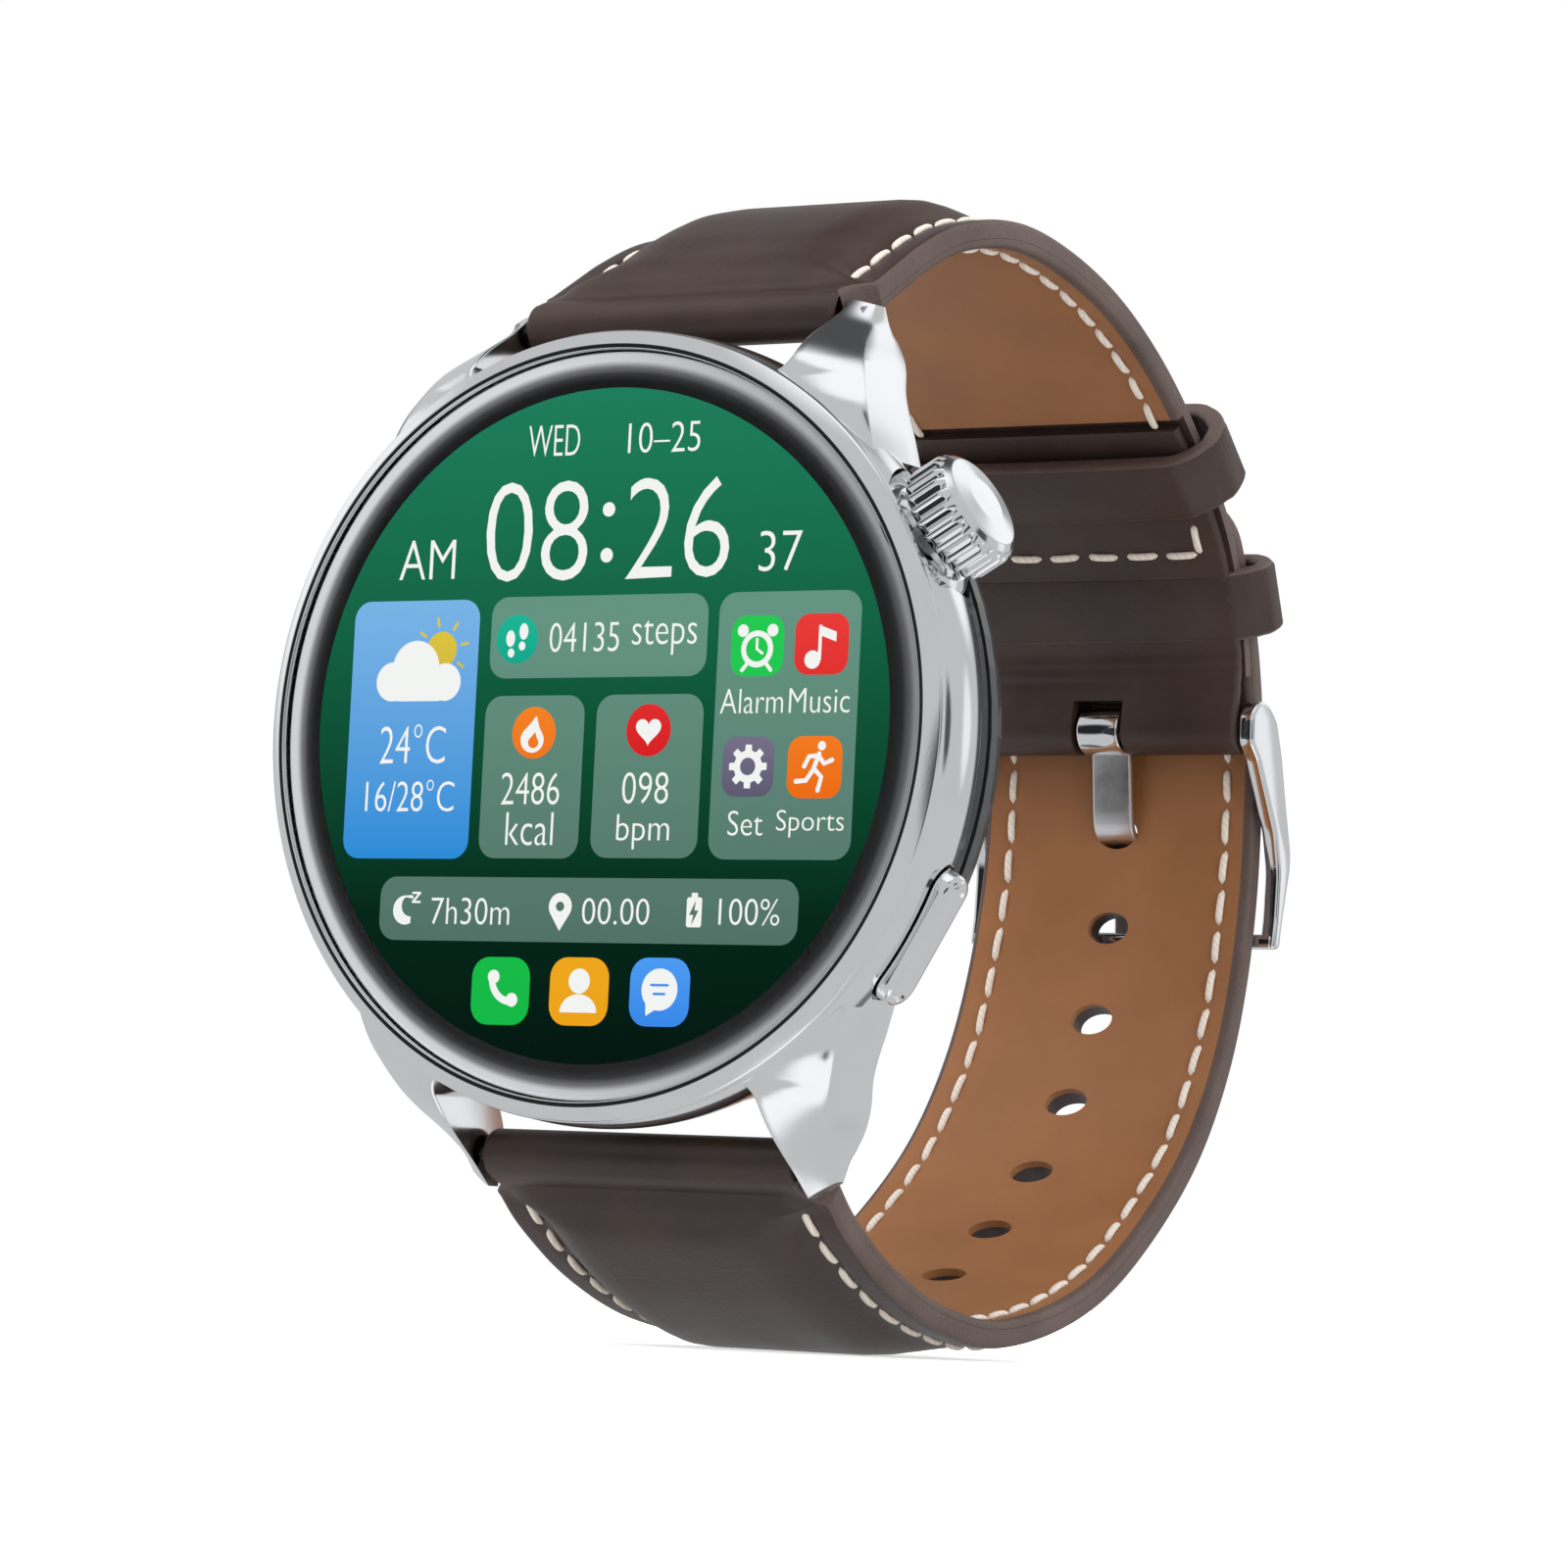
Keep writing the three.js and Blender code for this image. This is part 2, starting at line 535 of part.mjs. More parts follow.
// Closed solid through a row of equal rings of points.
function loft(rings) {
  const n = rings[0].length;
  const positions = rings.flat().flatMap((p) => [p.x, p.y, p.z]);
  const index = [];
  for (let r = 0; r + 1 < rings.length; r += 1) {
    for (let i = 0; i < n; i += 1) {
      const [a, b] = [r * n + i, r * n + ((i + 1) % n)];
      index.push(a, b, b + n, a, b + n, a + n);
    }
  }
  const last = (rings.length - 1) * n;
  for (let i = 1; i + 1 < n; i += 1) {
    index.push(0, i + 1, i);
    index.push(last, last + i, last + i + 1);
  }
  const geometry = new THREE.BufferGeometry();
  geometry.setAttribute('position', new THREE.Float32BufferAttribute(positions, 3));
  geometry.setIndex(index);
  return geometry;
}

// A layer of strap between two heights over the path's middle, from share u0 to u1. Each height is
// a function of (strap length, share across the width).
function layer(path, u0, u1, low, high, inset = 0, steps = 26, across = 8) {
  const rings = [];
  for (let i = 0; i <= steps; i += 1) {
    const u = u0 + ((u1 - u0) * i) / steps;
    const { point, normal, s } = path.at(u);
    const w = halfWidth(s) - inset;
    const corner = (share, height) => point.clone()
      .addScaledVector(normal, height(s, share))
      .setX(share * w);
    const ring = [];
    for (let k = 0; k <= across; k += 1) ring.push(corner((2 * k) / across - 1, low));
    for (let k = across; k >= 0; k -= 1) ring.push(corner((2 * k) / across - 1, high));
    rings.push(ring);
  }
  return loft(rings);
}

// The padding's crown: full over the middle, gone at the row of stitches near each edge.
function crowned(s, share) {
  const across = THREE.MathUtils.smoothstep(1 - Math.abs(share), 0.1, 0.55);
  return padding(s) * across;
}

const flat = (height) => () => height;

// The rounded end that a strap turns around its spring bar, between the lugs.
function strapEar(path, signZ) {
  const shape = new THREE.Shape();
  const root = path.at(1.2 / path.length);
  const outer = root.point.clone().addScaledVector(root.normal, EDGE_T / 2);
  const inner = root.point.clone().addScaledVector(root.normal, -EDGE_T / 2);
  const first = THREE.MathUtils.degToRad(80);
  shape.absarc(BAR_DEPTH, signZ * BAR_Z, NOSE_R, signZ * first, -signZ * first, signZ < 0);
  shape.lineTo(inner.y, inner.z);
  shape.lineTo(outer.y, outer.z);
  return acrossX(shape, -EAR_HALF, EAR_HALF, 14);
}

function strapLeather(path, signZ, u1, endT) {
  const edge = (s) => THREE.MathUtils.lerp(EDGE_T, endT, Math.min(s / (path.length * u1), 1)) / 2;
  const body = layer(path, 0, u1, flat(LAYER_GAP / 2), (s, share) => edge(s) + crowned(s, share));
  const bore = rodX(BAR_R + GAP, -20, 20, BAR_DEPTH, signZ * BAR_Z, 16);
  return cut(join(body, strapEar(path, signZ)), bore);
}

function holePunch(path, s) {
  const { point, along } = path.at(s / path.length);
  const shape = new THREE.Shape();
  shape.absellipse(0, 0, HOLE_HALF_WIDTH, HOLE_HALF_LENGTH, 0, 2 * Math.PI);
  const g = new THREE.ExtrudeGeometry(shape, { depth: 8, bevelEnabled: false, curveSegments: 7 });
  g.translate(0, 0, -4);
  const across = new THREE.Vector3(1, 0, 0);
  const back = along.clone().negate();
  const through = new THREE.Vector3().crossVectors(across, back);
  g.applyMatrix4(new THREE.Matrix4().makeBasis(across, back, through));
  return g.translate(point.x, point.y, point.z);
}

// A rounded loop of leather around the strap, centred on the path at share u.
function keeper(u, width, innerHalf, low, high, wall) {
  const { point, along, normal } = upperPath.at(u);
  const loop = (grow) => {
    const r = 0.5 + grow;
    const shape = new THREE.Shape();
    const [x, y0, y1] = [innerHalf + grow - r, low - grow + r, high + grow - r];
    shape.absarc(x, y1, r, 0, Math.PI / 2);
    shape.absarc(-x, y1, r, Math.PI / 2, Math.PI);
    shape.absarc(-x, y0, r, Math.PI, 1.5 * Math.PI);
    shape.absarc(x, y0, r, 1.5 * Math.PI, 2 * Math.PI);
    return shape;
  };
  const ring = loop(wall);
  ring.holes.push(new THREE.Path(loop(0).getPoints(6)));
  const g = new THREE.ExtrudeGeometry(ring, { depth: width, bevelEnabled: false, curveSegments: 6 });
  g.translate(0, 0, -width / 2);
  const third = new THREE.Vector3().crossVectors(new THREE.Vector3(1, 0, 0), normal);
  g.applyMatrix4(new THREE.Matrix4().makeBasis(new THREE.Vector3(1, 0, 0), normal, third));
  return g.translate(0, point.y, point.z);
}

// The end of the short strap: it turns around the buckle's bar and lies back over the inside.
function strapFold() {
  const u0 = 1 - FOLD_LENGTH / upperPath.length;
  const back = layer(upperPath, u0, 1, flat(-BUCKLE_END_T / 2), flat(-LAYER_GAP / 2), 0, 12, 2);
  const [d, z] = BUCKLE_BAR;
  const wrap = new THREE.Shape();
  const end = upperPath.at(1);
  const top = end.point.clone().addScaledVector(end.normal, -LAYER_GAP / 2);
  const inside = end.point.clone().addScaledVector(end.normal, -BUCKLE_END_T / 2);
  wrap.moveTo(inside.y, inside.z + 0.3);
  wrap.absarc(d, z, 1.45, Math.PI * 0.95, 2 * Math.PI, false);
  wrap.lineTo(d + 0.75, z + 0.6);
  wrap.lineTo(top.y, top.z + 0.3);
  const w = halfWidth(upperPath.length);
  const around = acrossX(wrap, -w, w, 12);
  const bore = rodX(BUCKLE_BAR_R + 0.25, -20, 20, d, z, 14);
  const notch = box(-TONGUE_HALF - 0.5, TONGUE_HALF + 0.5, d - 4, d + 4, z - 4, z + 1.9);
  return cut(join(back, around), bore, notch);
}

function buildUpperStrap() {
  const leather = strapLeather(upperPath, 1, 0.985, BUCKLE_END_T);
  place(watch, 'upper_strap_leather', leather, 'leather');
  const foldStart = 1 - FOLD_LENGTH / upperPath.length - 0.006;
  const under = (s) => -THREE.MathUtils.lerp(EDGE_T, BUCKLE_END_T, s / upperPath.length) / 2;
  place(watch, 'upper_strap_lining',
    layer(upperPath, 0.045, foldStart, under, flat(-LAYER_GAP / 2), 0, 22, 2), 'lining');
  place(watch, 'upper_strap_fold', strapFold(), 'leather');
  const half = halfWidth(upperPath.length * 0.8) + GAP;
  place(watch, 'fixed_keeper', keeper(...FIXED_KEEPER, half, -1.3, 2.8, 1), 'leather');
  place(watch, 'sliding_keeper', keeper(...SLIDING_KEEPER, half, -1.3, 2.8, 1), 'leather');
  place(watch, 'buckle_bar', rodX(BUCKLE_BAR_R, -11.1, 11.1, ...BUCKLE_BAR, 14), 'darkSteel');
}

function buildLowerStrap() {
  const uTail = TAIL_START / lowerPath.length;
  const leather = strapLeather(lowerPath, -1, uTail - 0.002, EDGE_T);
  const holes = [];
  for (let i = 0; i < HOLE_COUNT; i += 1) {
    holes.push(holePunch(lowerPath, FIRST_HOLE + i * HOLE_PITCH));
  }
  place(watch, 'lower_strap_leather', cut(leather, ...holes), 'leather');
  const lining = layer(lowerPath, 0.03, uTail - 0.002, flat(-EDGE_T / 2), flat(-LAYER_GAP / 2), 0, 24, 2);
  place(watch, 'lower_strap_lining', cut(lining, ...holes), 'lining');
  const thin = (s) => THREE.MathUtils.lerp(EDGE_T, TAIL_T, Math.min((s - TAIL_START) / 6, 1)) / 2;
  const tail = layer(lowerPath, uTail + 0.002, 1, flat(LAYER_GAP / 2), thin, 0, 16, 2);
  const tailLining = layer(lowerPath, uTail + 0.002, 1, (s) => -thin(s), flat(-LAYER_GAP / 2), 0, 16, 2);
  place(watch, 'tail_leather', common(cut(tail, ...holes), tailOutline()), 'leather');
  place(watch, 'tail_lining', common(cut(tailLining, ...holes), tailOutline()), 'lining');
}

// The free end is cut to a rounded point.
function tailOutline() {
  const shape = new THREE.Shape();
  const low = -30;
  const end = 23.4;
  shape.moveTo(-15, low);
  shape.lineTo(15, low);
  shape.lineTo(15, end - 7);
  shape.bezierCurveTo(10, end - 3, 5, end, 0, end);
  shape.bezierCurveTo(-5, end, -10, end - 3, -15, end - 7);
  return throughDepth(shape, 40, 80, 8);
}

// ---- buckle ----------------------------------------------------------------------------------

function buckleFrame() {
  const [d, z] = BUCKLE_BAR;
  const side = new THREE.Shape();
  side.moveTo(d - 1.4, z + 0.2);
  side.absarc(d + 0.35, z, 1.75, Math.PI * 0.95, Math.PI * 0.12, true);
  side.quadraticCurveTo(64.9, 2.5, 66.4, -1.6);
  side.quadraticCurveTo(66.6, -4.5, 66.35, -8);
  side.lineTo(65.25, -8);
  side.quadraticCurveTo(65.5, -3.5, 64.2, -0.5);
  side.quadraticCurveTo(62, 2.5, d - 1.4, z + 0.2);
  const rightArm = acrossX(side, FRAME_INNER, FRAME_OUTER, 8);
  const leftArm = acrossX(side, -FRAME_OUTER, -FRAME_INNER, 8);
  const crossbar = box(-FRAME_OUTER + 0.2, FRAME_OUTER - 0.2, 65.3, 66.35, -8, -6.9);
  const bore = rodX(BUCKLE_BAR_R + 0.2, -FRAME_OUTER + 0.25, FRAME_OUTER - 0.25, d, z, 14);
  return cut(join(rightArm, leftArm, crossbar), bore);
}

// The tongue: an eye around the bar, then a strip that passes out through a strap hole and rests
// on the outside of the frame's crossbar.
function buckleTongue() {
  const [d, z] = BUCKLE_BAR;
  const path = new THREE.CatmullRomCurve3([[d + 0.9, z - 1], [62.6, 3.6], [62.7, 1.6], [63.25, 0.3],
    [64.33, -0.5], [65.3, -1.1], [66, -2.1], [66.7, -4.6], [66.95, -8.6]].map(
    ([y, w]) => new THREE.Vector3(0, y, w)));
  const rings = [];
  for (let i = 0; i <= 20; i += 1) {
    const u = i / 20;
    const point = path.getPointAt(u);
    const along = path.getTangentAt(u);
    const normal = new THREE.Vector3(0, -along.z, along.y);
    const half = TONGUE_HALF * (1 - 0.25 * u);
    rings.push([[-1, -1], [1, -1], [1, 1], [-1, 1]].map(([a, b]) => point.clone()
      .addScaledVector(normal, (b * TONGUE_T) / 2)
      .setX(a * half)));
  }
  const eye = rodX(1.55, -TONGUE_HALF, TONGUE_HALF, d, z, 20);
  const bore = rodX(BUCKLE_BAR_R + 0.2, -5, 5, d, z, 14);
  return cut(join(loft(rings), eye), bore);
}

function buildBuckle() {
  place(watch, 'buckle_frame', buckleFrame(), 'steel');
  place(watch, 'buckle_tongue', buckleTongue(), 'steel');
}

buildHead();
buildCrown();
buildButton();
buildUpperStrap();
buildLowerStrap();
buildBuckle();

export default watch;
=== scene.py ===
import json
import math

import bmesh
import bpy
import numpy as np
from mathutils import Matrix, Vector


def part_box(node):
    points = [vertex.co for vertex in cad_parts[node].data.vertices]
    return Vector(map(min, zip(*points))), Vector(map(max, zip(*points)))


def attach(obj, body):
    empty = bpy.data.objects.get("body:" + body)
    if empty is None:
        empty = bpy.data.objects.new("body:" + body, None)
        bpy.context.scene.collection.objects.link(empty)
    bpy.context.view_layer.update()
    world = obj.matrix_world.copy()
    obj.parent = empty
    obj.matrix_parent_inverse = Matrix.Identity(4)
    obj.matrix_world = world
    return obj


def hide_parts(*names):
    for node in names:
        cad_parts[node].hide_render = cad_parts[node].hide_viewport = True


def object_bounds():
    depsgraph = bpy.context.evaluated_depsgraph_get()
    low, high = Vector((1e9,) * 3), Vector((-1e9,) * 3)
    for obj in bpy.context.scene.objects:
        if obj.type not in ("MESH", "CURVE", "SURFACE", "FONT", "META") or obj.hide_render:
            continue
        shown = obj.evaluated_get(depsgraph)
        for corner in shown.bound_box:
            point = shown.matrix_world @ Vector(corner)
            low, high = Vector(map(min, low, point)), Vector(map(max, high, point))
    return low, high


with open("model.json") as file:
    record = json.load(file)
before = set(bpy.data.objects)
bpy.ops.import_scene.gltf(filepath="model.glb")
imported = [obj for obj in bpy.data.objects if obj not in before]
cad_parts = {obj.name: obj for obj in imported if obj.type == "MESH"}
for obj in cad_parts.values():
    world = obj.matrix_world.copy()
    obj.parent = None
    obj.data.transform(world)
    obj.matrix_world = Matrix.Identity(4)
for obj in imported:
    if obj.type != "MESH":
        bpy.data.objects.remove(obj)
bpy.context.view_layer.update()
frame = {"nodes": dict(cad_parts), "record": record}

# Lengths below are in millimetres: x towards 3 o'clock, d the depth behind the front of the glass,
# z towards 12 o'clock. mm() turns them into the frame's metres.
MM = 0.001
HEAD_DEPTH = -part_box("cover_glass")[0].y / MM


def mm(points):
    p = np.asarray(points, float).reshape(-1, 3)
    return (p - (0, HEAD_DEPTH, 0)) * MM


# ---- materials -------------------------------------------------------------------------------


def srgb(r, g, b):
    """8-bit sRGB to the linear colour that shader sockets take."""
    def line(c):
        c /= 255
        return c / 12.92 if c <= 0.04045 else ((c + 0.055) / 1.055) ** 2.4
    return (line(r), line(g), line(b), 1)


class Mat:
    """A Principled material with a few ways to vary it over the surface."""

    def __init__(self, name, colour, rough, metal=0.0, **sockets):
        self.m = bpy.data.materials.new(name)
        self.m.use_nodes = True
        self.t = self.m.node_tree
        self.b = self.t.nodes["Principled BSDF"]
        self.b.inputs["Base Color"].default_value = colour
        self.b.inputs["Roughness"].default_value = rough
        self.b.inputs["Metallic"].default_value = metal
        for key, value in sockets.items():
            self.b.inputs[key.replace("_", " ")].default_value = value
        self.coords = self.t.nodes.new("ShaderNodeTexCoord").outputs["Object"]
        self.m.diffuse_color = colour

    def node(self, kind, **settings):
        n = self.t.nodes.new(kind)
        for key, value in settings.items():
            if key in n.inputs:
                n.inputs[key].default_value = value
            else:
                setattr(n, key, value)
        return n

    def link(self, a, b):
        self.t.links.new(a, b)

    def scaled(self, stretch):
        """Object coordinates stretched along the axes."""
        n = self.node("ShaderNodeMapping")
        n.inputs["Scale"].default_value = stretch
        self.link(self.coords, n.inputs["Vector"])
        return n.outputs["Vector"]

    def noise(self, size_mm, detail=3.0, stretch=(1, 1, 1)):
        n = self.node("ShaderNodeTexNoise", Scale=1 / (size_mm * MM), Detail=detail, Roughness=0.55)
        self.link(self.scaled(stretch), n.inputs["Vector"])
        return n.outputs["Fac"]

    def cells(self, size_mm):
        n = self.node("ShaderNodeTexVoronoi", Scale=1 / (size_mm * MM))
        self.link(self.coords, n.inputs["Vector"])
        return n.outputs["Distance"]

    def remap(self, value, lo, hi, out_lo, out_hi):
        n = self.node("ShaderNodeMapRange")
        for key, v in zip(("From Min", "From Max", "To Min", "To Max"), (lo, hi, out_lo, out_hi)):
            n.inputs[key].default_value = v
        self.link(value, n.inputs["Value"])
        return n.outputs["Result"]

    def ramp(self, value, stops):
        n = self.node("ShaderNodeValToRGB")
        e = n.color_ramp.elements
        while len(e) < len(stops):
            e.new(0.5)
        for element, (pos, colour) in zip(e, stops):
            element.position = pos
            element.color = colour
        self.link(value, n.inputs["Fac"])
        return n.outputs["Color"]

    def mixed(self, fac, a, b):
        n = self.node("ShaderNodeMix", data_type="RGBA")
        for socket, value in ((n.inputs[0], fac), (n.inputs[6], a), (n.inputs[7], b)):
            if isinstance(value, bpy.types.NodeSocket):
                self.link(value, socket)
            else:
                socket.default_value = value
        return n.outputs[2]

    def added(self, a, b, weight=1.0):
        n = self.node("ShaderNodeMath", operation="MULTIPLY_ADD")
        self.link(b, n.inputs[0])
        n.inputs[1].default_value = weight
        self.link(a, n.inputs[2])
        return n.outputs[0]

    def colour(self, socket):
        self.link(socket, self.b.inputs["Base Color"])

    def rough(self, value, lo, hi, out_lo, out_hi):
        self.link(self.remap(value, lo, hi, out_lo, out_hi), self.b.inputs["Roughness"])

    def bump(self, height, depth_mm, strength=1.0):
        n = self.node("ShaderNodeBump", Strength=strength, Distance=depth_mm * MM)
        self.link(height, n.inputs["Height"])
        self.link(n.outputs["Normal"], self.b.inputs["Normal"])


def leather(name, light, dark, rough, grain_mm=0.32, grain_depth=0.03):
    """Clouded tone under fine pores."""
    m = Mat(name, light, rough, Specular_IOR_Level=0.45)
    cloud = m.noise(7, 3)
    pores = m.cells(grain_mm)
    fine = m.noise(0.12, 3)
    tone = m.ramp(m.remap(cloud, 0.3, 0.7, 0, 1), [(0, dark), (1, light)])
    mottled = m.mixed(m.remap(fine, 0.3, 0.75, 0, 0.3), tone, dark)
    m.colour(mottled)
    m.rough(m.added(cloud, fine, 0.5), 0.45, 1.05, rough - 0.07, rough + 0.08)
    m.bump(m.added(pores, fine, 0.5), grain_depth, 0.5)
    return m.m


def polished(name, tone=(0.87, 0.875, 0.885, 1), rough=0.07, scratch=0.004):
    """Steel with faint hairlines and a slightly uneven gloss."""
    m = Mat(name, tone, rough, 1.0)
    hair = m.noise(0.35, 2, (1, 7, 1))
    cloud = m.noise(4, 2)
    m.rough(m.added(cloud, hair, 0.4), 0.4, 1.0, rough * 0.7, rough * 1.5)
    low = tuple(0.96 * c for c in tone[:3]) + (1,)
    m.colour(m.ramp(m.remap(cloud, 0.3, 0.7, 0, 1), [(0, low), (1, tone)]))
    m.bump(hair, scratch, 0.25)
    return m.m


def plain(name, colour, rough, metal=0.0, grain_mm=0.2, depth=0.01, **sockets):
    """Moulded or machined surface: slight tone and gloss variation and a fine grain."""
    m = Mat(name, colour, rough, metal, **sockets)
    cloud = m.noise(3, 3)
    fine = m.noise(grain_mm, 2)
    low = tuple(0.86 * c for c in colour[:3]) + (1,)
    m.colour(m.ramp(m.remap(cloud, 0.3, 0.7, 0, 1), [(0, low), (1, colour)]))
    m.rough(m.added(cloud, fine, 0.5), 0.4, 1.1, max(rough - 0.08, 0.02), rough + 0.08)
    m.bump(fine, depth, 0.4)
    return m.m


OUTER = leather("outer_leather", srgb(66, 50, 44), srgb(50, 37, 33), 0.42, 0.34, 0.022)
LINING = leather("lining_leather", srgb(152, 100, 58), srgb(138, 89, 50), 0.5, 0.22, 0.016)
EDGE = leather("painted_edge", srgb(98, 82, 76), srgb(78, 63, 58), 0.55, 0.22, 0.06)
CHROME = polished("polished_steel")
CHROME_SOFT = polished("soft_polished_steel", rough=0.14, scratch=0.008)
BRUSHED = polished("brushed_steel", rough=0.3, scratch=0.006)
SATIN = plain("satin_steel", (0.56, 0.57, 0.59, 1), 0.3, 1.0, 0.15, 0.006)


def stitch_material():
    m = Mat("waxed_thread", srgb(226, 216, 204), 0.62)
    twist = m.node("ShaderNodeTexWave", wave_type="BANDS", bands_direction="DIAGONAL",
                   Scale=1 / (0.9 * MM), Distortion=1.0)
    m.link(m.coords, twist.inputs["Vector"])
    fuzz = m.noise(0.1, 3)
    tone = m.added(fuzz, twist.outputs["Fac"], 0.3)
    m.colour(m.ramp(tone, [(0.3, srgb(206, 192, 178)), (0.9, srgb(232, 222, 210))]))
    m.bump(m.added(twist.outputs["Fac"], fuzz, 0.5), 0.02, 0.35)
    return m.m


THREAD = stitch_material()


# ---- mesh building ---------------------------------------------------------------------------


def piece(name, verts, faces, mats, body, stands_for=(), slot=None, face_mats=None, angle=32, smooth=True):
    """A mesh object of the model from millimetre points, riding on a CAD body."""
    mesh = bpy.data.meshes.new(name)
    mesh.from_pydata([tuple(v) for v in mm(verts)], [], [tuple(int(i) for i in f) for f in faces])
    for m in mats if isinstance(mats, (list, tuple)) else [mats]:
        mesh.materials.append(m)
    if face_mats is not None:
        mesh.polygons.foreach_set("material_index", np.asarray(face_mats, np.int32))
    tidy = bmesh.new()
    tidy.from_mesh(mesh)
    bmesh.ops.remove_doubles(tidy, verts=tidy.verts, dist=2e-7)
    bmesh.ops.recalc_face_normals(tidy, faces=tidy.faces)
    tidy.to_mesh(mesh)
    tidy.free()
    mesh.polygons.foreach_set("use_smooth", [smooth] * len(mesh.polygons))
    if smooth:
        mesh.set_sharp_from_angle(angle=math.radians(angle))
    ob = bpy.data.objects.new(name, mesh)
    bpy.context.scene.collection.objects.link(ob)
    if body:
        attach(ob, body)
    if stands_for:
        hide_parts(*([stands_for] if isinstance(stands_for, str) else stands_for))
    return ob


def rings_mesh(rings, closed_run=False):
    """Quads through equal closed rings of points, capped unless the run closes: (points, faces)."""
    rings = np.asarray(rings, float)
    m, n = rings.shape[:2]
    faces = []
    for i in range(m if closed_run else m - 1):
        a, b = i * n, ((i + 1) % m) * n
        for j in range(n):
            k = (j + 1) % n
            faces.append((a + j, a + k, b + k, b + j))
    if not closed_run:
        faces.append(tuple(range(n))[::-1])
        faces.append(tuple((m - 1) * n + j for j in range(n)))
    return rings.reshape(-1, 3), faces


def turn_profile(profile, segments, placed=None, hollow=None):
    """Rings of a closed (radius, distance) profile about the depth axis, or about a side axis.
    hollow gives how far the radius is drawn in, by angle and distance."""
    profile = np.asarray(profile, float)
    rings = []
    for i in range(segments):
        a = 2 * math.pi * i / segments
        r = profile[:, 0] if hollow is None else profile[:, 0] - hollow(a, profile[:, 1])
        rings.append(np.stack([r * math.cos(a), profile[:, 1], r * math.sin(a)], 1))
    rings = np.asarray(rings)
    if placed is not None:
        rings = placed(rings)
    return rings


def rounded(corners, radius, steps=4):
    """A closed outline with each corner rounded by a small arc. radius is one number or one each."""
    p = np.asarray(corners, float)
    n = len(p)
    radii = np.full(n, radius, float) if np.isscalar(radius) else np.asarray(radius, float)
    out = []
    for i in range(n):
        if radii[i] <= 0:
            out.append(p[i])
            continue
        a, b, c = p[i - 1], p[i], p[(i + 1) % n]
        u, v = a - b, c - b
        lu, lv = np.linalg.norm(u), np.linalg.norm(v)
        u, v = u / lu, v / lv
        half = math.acos(np.clip(u @ v, -1, 1)) / 2
        if half > math.radians(88.5) or half < 0.02:
            out.append(b)
            continue
        cut = min(radii[i] / math.tan(half), 0.48 * lu, 0.48 * lv)
        r = cut * math.tan(half)
        centre = b + (u + v) / np.linalg.norm(u + v) * (r / math.sin(half))
        s, e = b + u * cut - centre, b + v * cut - centre
        sweep = math.pi - 2 * half
        sign = np.sign(s[0] * e[1] - s[1] * e[0]) or 1
        for k in range(steps + 1):
            t = sign * sweep * k / steps
            out.append(centre + (s[0] * math.cos(t) - s[1] * math.sin(t),
                                 s[0] * math.sin(t) + s[1] * math.cos(t)))
    return np.asarray(out)


def side_frame(degrees, depth):
    """Places points whose second number is a distance out along a side axis of the case."""
    a = math.radians(degrees)
    out = np.array((math.cos(a), 0, math.sin(a)))
    across = np.array((-math.sin(a), 0, math.cos(a)))

    def placed(points):
        p = np.asarray(points, float)
        return (np.array((0, depth, 0)) + p[..., 1:2] * out + p[..., 0:1] * np.array((0, -1.0, 0))
                + p[..., 2:3] * across)
    return placed


def prism(outline, x0, x1, bevel=0.0, steps=3, plane="yz"):
    """A closed outline given thickness, its rims rounded by drawing the end rings in."""
    p = np.asarray(outline, float)
    area = 0.5 * np.sum(p[:, 0] * np.roll(p[:, 1], -1) - np.roll(p[:, 0], -1) * p[:, 1])
    if area < 0:  # the outline runs the other way round
        p = p[::-1]
    prev, nxt = np.roll(p, 1, 0), np.roll(p, -1, 0)
    e0, e1 = p - prev, nxt - p
    n0 = np.stack([e0[:, 1], -e0[:, 0]], 1) / np.maximum(np.linalg.norm(e0, axis=1), 1e-9)[:, None]
    n1 = np.stack([e1[:, 1], -e1[:, 0]], 1) / np.maximum(np.linalg.norm(e1, axis=1), 1e-9)[:, None]
    n = n0 + n1
    n /= np.maximum((n * n).sum(1), 0.35)[:, None] / 2
    rows = [(0, 0)] if bevel <= 0 else [(bevel * (1 - math.sin(t)), bevel * (1 - math.cos(t)))
                                        for t in np.linspace(0, math.pi / 2, steps + 1)]
    rings = [(p - n * inset, x0 + rise) for inset, rise in rows]
    rings += [(p - n * inset, x1 - rise) for inset, rise in rows[::-1]]
    made = []
    for q, x in rings:
        xs = np.full(len(q), x)
        if plane == "yz":
            made.append(np.stack([xs, q[:, 0], q[:, 1]], 1))
        else:  # outline in (x, z), thickness in depth
            made.append(np.stack([q[:, 0], xs, q[:, 1]], 1))
    return rings_mesh(made)


